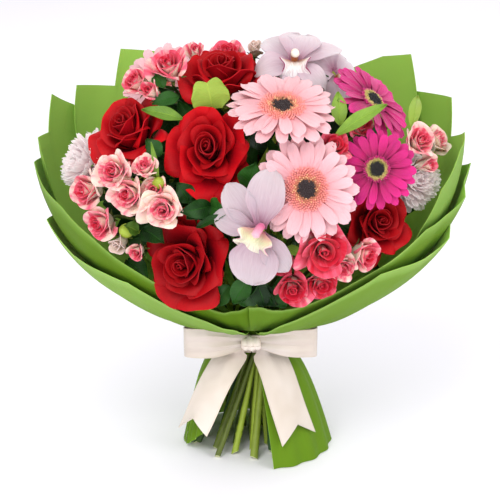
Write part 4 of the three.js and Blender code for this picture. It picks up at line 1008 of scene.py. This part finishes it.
def make_roses(planned, paints):
    for index, (name, spot, width, turn, changes) in enumerate(ROSES):
        rng = np.random.default_rng(SEED + index)
        place, stem = planned[name]
        petals, stalk = Shape(), Shape()
        # The shade mark runs from 0 at a rose's heart to the second of these at its outer petals: the heart
        # is painted darker as painted shade deep in the bloom, and the dark roses are painted darker over
        # their outer petals too
        shades = (0.0, 0.5) if name in DARK_ROSES else (0.0, 1.0)
        rose_bloom(petals, place.shaped(**changes), width, turn, shades, RED_ROSE, rng)
        petals.piece(name + "_petals", paints["rose"], "rose_petal", name)
        draw_stem(stalk, stem, rng)
        add_calyx(stalk, place, width, rng)
        stalk.piece(name + "_stalk", paints["stem"], "stem", name + "_stem")


def make_gerberas(planned, paints):
    for index, (name, spot, width, changes) in enumerate(GERBERAS):
        rng = np.random.default_rng(SEED + 20 + index)
        place, stem = moved(name, *planned[name], changes)
        kind = name.split("_")[0]
        half, count, reach, number, collar, heart = GERBERA_KINDS[kind]
        rays, disc, stalk = Shape(), Shape(), Shape()
        half *= width
        ray_layer(rays, place, count, width * 0.13, width * 0.51, half, 4.4, 3, 0.09, 0, rng)
        ray_layer(rays, place, count - 1, width * 0.13, width * 0.46, half * 0.9, 6.0, 10, 0.13, 0.45, rng)
        rays.piece(name + "_petals", paints[kind], kind + "_gerbera_petal", name + "_rays")
        florets(disc, place, width * reach, 7.0, number, collar, heart, rng)
        disc.piece(name + "_florets", paints[kind + "_disc"], kind + "_gerbera_disc", name + "_disc")
        draw_stem(stalk, stem, rng, rough=0.05)
        turned_form(stalk, place, -2, 4.6, vec(0.03, 0.06, 0.1, 0.13, 0.15, 0.155) * width, 16, 0.4)
        stalk.piece(name + "_stalk", paints["stem"], "stem", name + "_stem")


def make_orchids(planned, paints):
    for index, (name, spot, width, roll, changes, tepals) in enumerate(ORCHIDS):
        rng = np.random.default_rng(SEED + 40 + index)
        place, stem = moved(name, *planned[name], changes)
        low = name == "orchid_2"
        # orchid_2's tepals are painted in shade, at 0.6 of the shade mark
        shade = 0.6 if low else 1.0
        petals, lip, stalk = Shape(), Shape(), Shape()
        for n, (angle, long, half) in enumerate(tepals):
            odd = n % 2
            tepal_sheet(petals, place, angle, long, half, 8 + 1.2 * odd, 0.1 + 0.04 * odd, shade, rng)
        petals.piece(name + "_tepals", paints["orchid"], "orchid_tepal", name)
        seat = place.shaped(across=4, rise=-9, stretch=(0.7, 0.7, 0.7)) if name == "orchid_3" else place
        orchid_lip(lip, seat, width * 0.4, rng)
        paint = paints["green_lip" if low else "white_lip"]
        lip.piece(name + "_lip_and_column", paint, "orchid_lip", name + "_lip")
        draw_stem(stalk, stem, rng, rough=0.05)
        turned_form(stalk, place, -3, 8, (2.4, 2.8, 3.2, 3.6, 4.0, 4.2, 3.2), 12, 0.7)
        stalk.piece(name + "_stalk", paints["stem"], "stem")


def make_mums(planned, paints):
    for index, (name, spot, width, changes) in enumerate(MUMS):
        rng = np.random.default_rng(SEED + 50 + index)
        place, stem = moved(name, *planned[name], {})
        petals, stalk = Shape(), Shape()
        mum_bloom(petals, place.shaped(rise=3, stretch=(1.12, 1.12, 1.1), **changes), width, rng)
        petals.piece(name + "_petals", paints["mum"], "chrysanthemum_petal", name)
        draw_stem(stalk, stem, rng, rough=0.1)
        add_calyx(stalk, place, width, rng)
        stalk.piece(name + "_stalk", paints["stem"], "stem")


def make_sprays(planned, paints):
    for index, (name, redness, heads) in enumerate(SPRAYS):
        rng = np.random.default_rng(SEED + 60 + index)
        fork = planned[name]["neck"]
        blooms, cream, branches = Shape(), Shape(), Shape()
        draw_stem(branches, planned[name], rng, rough=0.2)
        for n, head in enumerate(heads + MORE_HEADS.get(name, [])):
            centre, axis = bloom_spot(*head[:5])
            aside, up, yaw, scale = head[6:] or (0, 0, head[2], 1.0)
            axis = facing(yaw, head[3])
            width = head[5] * scale
            place = Place(centre - axis * width * 0.7, axis, 77 * n)
            place = place.shaped(across=aside, rise=up + 3, out=0.14 * width, stretch=(1.12, 1.12, 1.0))
            red = redness + rng.uniform(-0.08, 0.08)
            target = cream if (name, n) in CREAM_BUDS else blooms
            kind = SPRAY_BUD if width < BUD_WIDTH else SPRAY_ROSE
            rose_bloom(target, place, width, 40 * n, (red + 0.4, red - 0.13), kind, rng)
            draw_branch(branches, fork, place.origin + axis * 2, axis * 16, (1.9, 1.2), rng.uniform(0, 1))
            add_calyx(branches, place, max(width, 22) * 1.1, rng)
        if name in GREEN_BUDS:
            *spot, size = GREEN_BUDS[name]
            centre, axis = bloom_spot(*spot)
            place = Place(centre - axis * size * 0.6, axis)
            draw_branch(branches, fork, place.origin, axis * 12, (1.5, 1.0), 0.7)
            radii = size * 0.5 * np.sin(math.pi * np.linspace(0.12, 0.98, 9)) ** 0.8
            turned_form(branches, place, 0, size * 1.15, radii, 12, 0.95)
            add_calyx(branches, place, size * 2, rng)
        name = "spray_roses_" + name
        blooms.piece(name + "_petals", paints["spray"], "spray_rose_petal", name)
        if cream.total:
            cream.piece(name + "_bud", paints["cream_bud"], "spray_rose_petal")
        branches.piece(name + "_branches", paints["stem"], "stem")


def fill_gaps(shape, rng, angles, heights, depths, sink, turns, widths):
    """Dark leaves that stand out of the dome, spread over it from one height to another."""
    for n, angle in enumerate(angles):
        up = mix(*heights, (n + 0.5) / len(angles))
        ray = polar(math.sqrt(1 - up * up), angle, up)
        deep = rng.uniform(*depths)
        root = DOME_CENTRE + ray * DOME_RADII * (deep - sink)
        turn = unit(np.cross(ray, rng.normal(size=3)))
        tip = DOME_CENTRE + ray * DOME_RADII * (deep + 0.06) + turn * rng.uniform(*turns)
        leaf(shape, root, tip, rng.uniform(*widths), rng, face=ray, rows=10, columns=7)


def make_foliage(planned, paints):
    rng = np.random.default_rng(SEED + 80)
    for name, fork, leaves in FOLIAGE:
        root = on_dome(*fork)
        kind = "lime" if name == "foliage_heart_leaf" else "leaf"
        blades, stalk = Shape(), Shape()
        for across, rise, width, lift in leaves:
            tip = on_dome(across, rise, 0, fork[3])
            tip = tip + unit(tip - DOME_CENTRE) * lift
            if kind == "lime":
                foot, end = root + VIEW_ABOVE * 4, tip + VIEW_ABOVE * 9
                leaf(blades, foot, end, 17.5, rng, True, -VIEW_AHEAD, 0.04, 30, 25)
            else:
                leaf(blades, root, tip, width / 2, rng)
        blades.piece(name + "_blades", paints[kind], LEAF_SLOTS[kind], name)
        draw_stem(stalk, planned[name], rng, rough=0.15)
        stalk.piece(name + "_stalk", paints["stem"], "stem")
    filler = Shape()
    fill_gaps(filler, rng, GOLDEN_ANGLE * np.arange(120), (0.98, -0.55), (0.66, 0.8), 0.24, (14, 30), (9, 15))
    behind = np.radians(90 + 78 * np.sin(2.4 * np.arange(44)))
    fill_gaps(filler, rng, behind, (0.8, -0.25), (0.7, 0.84), 0.28, (16, 34), (14, 20))
    filler.piece("filler_leaves", paints["leaf"], "leaf")
    singles = {}
    for foot, end, width, kind in LEAVES:
        shape = singles.setdefault(kind, Shape())
        leaf(shape, on_dome(*foot), on_dome(*end), width / 2, rng, face=unit(-VIEW_AHEAD + vec(0, 0, 0.4)))
    for kind, shape in singles.items():
        shape.piece("single_leaves_" + kind, paints[kind], LEAF_SLOTS[kind])


# The wrap

# Sheets: each corner's degrees, its share of the bowl's rise and its flare, then where the skirt starts
# and ends and how far one end is raised, the layer at each end, and the tone, which is partly the paper's own
# tone and partly painted shade from sheet to sheet
SHEETS = [
    ("left_front", [
        (265, 0.22), (251, 0.33), (238, 0.44), (228, 0.55), (216, 0.575), (205, 0.602, 1), (204, 0.58),
        (192, 0.69), (178, 0.665, -6), (160, 0.66, -6),
    ], (230, 188, 0.2), (4, 7), 0.9),
    ("left", [
        (272.5, 0.35, -11), (258, 0.37), (249, 0.42), (240, 0.51), (231, 0.59), (220, 0.68), (208, 0.75),
        (195, 0.78), (184, 0.82, 1), (172, 0.81), (160, 0.7),
    ], None, (-4, 0), 0.2),
    ("left_back", [
        (181, 0.8), (180, 0.87, 3), (168, 0.862), (164, 0.94), (150, 0.9), (140, 0.84), (130, 0.78),
    ], None, (-9, -4.5), 0.45),
    ("back_left", [
        (153, 0.88), (151.5, 0.945), (134, 0.925), (132.5, 1.0), (118, 0.985), (105, 0.92), (86, 0.86, 3),
    ], None, (-13, -9), 0.5),
    ("right_front", [
        (-85, 0.22), (-71, 0.37), (-59, 0.495), (-49, 0.59), (-40, 0.6), (-30, 0.61, 2), (-17, 0.65, 3),
        (-12, 0.68, -6), (2, 0.66, -6),
    ], (-74, 6, 0), (4, 7), 0.7),
    ("right", [
        (-91.5, 0.37, -7), (-77, 0.39), (-66, 0.43), (-55, 0.53), (-44, 0.61), (-33, 0.695), (-22, 0.71),
        (-11, 0.75, 6), (-8, 0.78), (-4, 0.82, 2), (8, 0.79), (20, 0.7),
    ], None, (-4, 0), 0.45),
    ("right_back", [
        (-31, 0.68), (-27, 0.79), (-15, 0.865), (-2, 0.885), (16.4, 0.845), (17.6, 0.93), (37, 0.92),
        (50, 0.84),
    ], (2, 54, 0), (-9, -4.5), 0.35),
    ("back_right", [
        (33, 0.88), (35.5, 1.0), (48, 0.985), (57, 0.96), (66, 0.93), (77, 0.89), (93, 0.86),
    ], None, (-13, -9), 0.5),
    ("back", [
        (56, 0.78), (68, 0.86), (79, 0.8), (90, 0.76), (101, 0.8), (112, 0.86), (124, 0.78),
    ], (48, 186, 0), (9, 9), 0.45),
]


def left_tuck(degrees, fallen):
    """The share by which the skirt's left side hangs closer in."""
    return 0.16 * smooth(fallen) * np.maximum(-np.cos(np.radians(degrees)), 0) ** 2


def wrap_row(degrees, t, offset):
    """A row of the wrap's points: t is a share of the bowl's rise, or below zero of the skirt's fall."""
    t = np.broadcast_to(t, degrees.shape)
    if t[0] > 0:
        open_share = t
        depth = mix(1, BOWL_DEPTH, smooth(t / 0.45))
        radius, height = bezier(BOWL, t).T
        outward, upward = bezier_slope(BOWL, t).T
        normal = np.stack([upward + 1 - smooth(t / 0.1), -outward])
        normal /= np.linalg.norm(normal, axis=0)
    else:
        open_share = -t - NECK_SHARE
        fallen = open_share / (1 - NECK_SHARE)
        radius, height = bezier(SKIRT, fallen).T
        radius = radius * (1 - left_tuck(degrees, fallen))
        normal, depth = (1, 0), 1
    room = offset * mix(NECK_CLOSE, 1, smooth(open_share / 0.3))
    radius = radius + normal[0] * room
    angle = np.radians(degrees)
    height = np.maximum(height + normal[1] * room, 0.4)
    return points_of(radius * np.cos(angle), depth * radius * np.sin(angle), height)


def wrap_sheet(name, outline, skirt, layer, tone, paint, rng):
    """One sheet of paper: straight-edged corners at its rim, pleats that run together at the neck."""
    last = len(outline) - 1
    shares = np.linspace(0, 1, last * SHEET_COLUMNS + 1)
    corners = zip(*[(*corner, 0)[:3] for corner in outline])
    degrees, tops, flares = (np.interp(shares, np.linspace(0, 1, last + 1), values) for values in corners)
    level = mix(*layer, shares)
    phase = rng.uniform(0, 6)
    pleats = 0.8 * (np.sin(degrees * 0.42 + phase) * 0.9 + np.sin(degrees * 0.17 + 2 * phase))
    pinched = 1.2 * peak((degrees + 270) % 360, 180, 15) * np.sin(degrees * 0.6)
    rows = []
    for f in np.arange(BOWL_ROWS, 0, -1) / BOWL_ROWS:
        t = tops * f**0.9
        offset = level + flares * f**4 + pleats * (1 - 0.65 * f) * smooth(t / 0.2)
        rows.append(wrap_row(degrees, t, offset + pinched * smooth(t / 0.15)))
    rows.append(wrap_row(degrees, 1e-3, level))
    start, end, raised = skirt or (0, 0, 0)
    for fall in np.linspace(0, 1, SKIRT_ROWS if skirt else 1):
        lower = mix(degrees, mix(start, end, shares), fall**0.7)
        offset = level * mix(1, 0.4, fall) - 1.4 * np.sin(shares * math.pi * last) * fall
        rows.append(wrap_row(lower, mix(-NECK_SHARE, -1 + raised * (1 - shares) ** 1.5, fall), offset))
    grid = np.array(rows)[::-1]
    if degrees[0] > degrees[-1]:
        grid = grid[:, ::-1]
    up = np.linspace(0, 1, len(grid))[:, None]
    # Painted shade on the outer face, deeper down the skirt to its hem, and a painted highlight along the rim
    light = OUTSIDE_PAINTED_SHADE.get(name, 1.0)
    if skirt:
        light = mix(SKIRT_PAINTED_SHADE, light, smooth((up - 0.5) / 0.42))
    paper = Shape()
    paper.sheet(grid, tone, mix(light, 1.12, smooth((up - 0.94) / 0.06)), PAPER_THICKNESS)
    paper.piece("paper_" + name, paint, "wrap_paper", "wrap_sheet_" + name)


def make_wrap(paints):
    for index, sheet in enumerate(SHEETS):
        wrap_sheet(*sheet, paints["paper"], np.random.default_rng(SEED + 100 + index))


# The ribbon and the tie

def skirt_radius(height):
    """The skirt's radius at each height, found by halving."""
    low, high = 0 * height, 0 * height + 1
    for _ in range(20):
        middle = (low + high) / 2
        above = bezier(SKIRT, middle)[..., 1] > height
        low = np.where(above, middle, low)
        high = np.where(above, high, middle)
    return bezier(SKIRT, low)[..., 0]


def ribbon_strip(shape, grid, tone=0.5):
    """Adds one run of ribbon and gives its flat length. Its tone sets how light the run is painted: above a
    half is painted light, below it painted shade.
    """
    shape.sheet(grid, tone, 1.0, RIBBON_THICKNESS)
    middle = grid[:, grid.shape[1] // 2]
    return np.linalg.norm(np.diff(middle, axis=0), axis=1).sum()


def loop_grid(side, reach):
    """A loop of the bow: out in front of the knot and back behind, gathered at both ends."""
    path = [(0, -1, 0), (0.45, -10, 3), (0.9, -9, 3), (1, -3, 2.5), (0.88, 1, 2), (0.45, 1, 1), (0, 2, 0)]
    route = along([KNOT + vec(side * reach * out, back, up) for out, back, up in path], 9)
    v, u = blade_grid(len(route), 11)
    full = smooth(1.35 * np.sin(math.pi * v))
    gathered = smooth(2.2 * np.minimum(v, 1 - v))
    gathered = gathered * (1 - gathered)
    grid = np.repeat(route[:, None], 11, axis=1)
    grid[..., 2] += u * mix(6, RIBBON_WIDTH / 2 - 2.5, full) - 1.5 * full
    fold = np.cos(u * 8 + side) * (1.2 * (1 - full) + 8 * gathered) + 0.9 * np.sin(u * 2.4 + 9 * v)
    grid[..., 1] += fold - 1.2 * full * (1 - u * u) * np.sign(0.5 - v) - 4.5 * u * full
    return grid


def tail_grid(side, reach_degrees, bottom, spread, flare, tilt):
    """A tail of the bow, lying on the skirt and notched at its end."""
    v, u = blade_grid(34, 11)
    z = mix(KNOT[2] - 5, bottom + tilt * u * v, v * (1 - 0.17 * (1 - np.abs(u)) * v**3))
    heading = -90 + side * (reach_degrees * v**0.9 + spread * smooth(v * 12) * (1 - 0.92 * v))
    fallen = np.clip((NECK_BOTTOM - z) / NECK_BOTTOM, 0, 1)
    radius = np.maximum(skirt_radius(z) * (1 - left_tuck(heading, fallen)) + 8, BAND_RADIUS + 3.5)
    radius = radius + 2.0 * np.cos(u * 6.5 + 1) * (1 - smooth(v * 2))
    radius = radius + 1.4 * np.sin(v * 6 + side) * smooth(v * 2)
    radius = radius + flare * v**2
    wide = mix(6, RIBBON_WIDTH / 2 * mix(0.96, 1.14, v), smooth(v * 6))
    return polar(radius, np.radians(heading) + u * wide * side / radius, z)


def make_ribbon(paints):
    bow = Shape()
    v, u = blade_grid(73, 25)
    around = FULL_TURN * v * 0.995
    band = BAND_RADIUS + 1.2 + 1.1 * np.cos(u * 11 + 0.3 * np.sin(around)) + 0.15 * np.sin(3 * around)
    length = ribbon_strip(bow, polar(band, around - math.pi / 2, KNOT[2] - 5 + u * BAND_HEIGHT / 2))
    for side, reach in ((-1, 65), (1, 64)):
        length += ribbon_strip(bow, loop_grid(side, reach))
    # The left tail is painted lighter and the right one a little darker, as painted light and shade
    length += ribbon_strip(bow, tail_grid(-1, 47, 29, 31, 11, -2), 0.62)
    length += ribbon_strip(bow, tail_grid(1, 36, 25, 26, 0, 2), 0.46)
    v, u = blade_grid(33, 13)
    around = FULL_TURN * v * 0.99
    barrel = np.sqrt(1 - 0.5 * u * u) * (1 + 0.12 * np.cos(u * 9 + 0.9 * np.sin(around)))
    knot = points_of(9.2 * u, -2 - 8.6 * barrel * np.cos(around), -1 + 6.8 * barrel * np.sin(around))
    # The knot is painted much lighter, as painted light
    length += ribbon_strip(bow, KNOT + knot, 0.92)
    made = bow.piece("satin_bow", paints["ribbon"], "ribbon_satin", "ribbon_bow")


def make_tie(paints):
    outer = (tie_high.x - tie_low.x) / MM / 2
    strands = Shape()
    rng = np.random.default_rng(SEED + 130)
    for n in range(5):
        angle = np.linspace(0, FULL_TURN * 0.995, 60) + n
        z = TIE_HEIGHT - 3.3 + 1.65 * n + 0.4 * np.sin(2 * angle)
        ring = polar(outer - 0.9 + 0.15 * np.sin(5 * angle), angle, z)
        strands.tube(ring, 0.85, 8, rng.uniform(0, 1))
    strands.piece("raffia_tie", paints["tie"], "tie", "stem_tie")


# Floor, light and camera

# Lamps: place and size in metres, and power
LAMPS = [
    ("key", (-0.7, -1.9, 2.2), 1.3, 34),
    ("fill", (1.8, -1.2, 1.2), 1.6, 20),
    ("front", (-0.8, -2.3, 0.6), 1.2, 12),
    ("back", (0.4, 1.8, 2.0), 1.6, 16),
]
LAMPS_AIM = Vector((0, 0, 0.2))


def make_floor():
    bpy.ops.mesh.primitive_plane_add(size=40, location=(0, 0, -0.0003))
    floor = bpy.context.object
    floor.name = "pale_floor"
    paint = Paint("pale_floor", Roughness=0.9, Specular_IOR_Level=0.1)
    cloud = paint.noise(paint.where(), 3.0, 2.0)
    floor.data.materials.append(paint.finish(paint.ramp(cloud, (0.3, 245, 242, 250), (0.7, 247, 244, 252))))


def add_to_scene(name, data, place, ahead):
    made = bpy.data.objects.new(name, data)
    bpy.context.scene.collection.objects.link(made)
    made.location = place
    made.rotation_euler = ahead.to_track_quat("-Z", "Y").to_euler()
    return made


def light_and_view():
    scene = bpy.context.scene
    scene.world = bpy.data.worlds.new("white_studio")
    scene.world.use_nodes = True
    backdrop = scene.world.node_tree.nodes["Background"]
    backdrop.inputs["Color"].default_value = (1.0, 1.0, 1.0, 1.0)
    backdrop.inputs["Strength"].default_value = 0.8
    for name, place, size, power in LAMPS:
        lamp = bpy.data.lights.new(name, "AREA")
        lamp.size = size
        lamp.energy = power
        add_to_scene(name, lamp, place, LAMPS_AIM - Vector(place))
    scene.view_settings.view_transform = "Standard"
    camera = bpy.data.cameras.new("photograph_view")
    camera.sensor_width = 36
    camera.lens = camera.sensor_width * VIEW_DISTANCE / VIEW_WIDTH
    ahead = Vector(VIEW_AHEAD)
    place = Vector((VIEW_CENTRE + AXIS_SHIFT) * MM) - ahead * VIEW_DISTANCE * MM
    scene.camera = add_to_scene("photograph_view", camera, place, ahead)


light_and_view()
planned = plan_bundle()
paints = make_paints()
for make in (make_roses, make_gerberas, make_orchids, make_mums, make_sprays, make_foliage):
    make(planned, paints)
for make in (make_wrap, make_ribbon, make_tie):
    make(paints)
make_floor()
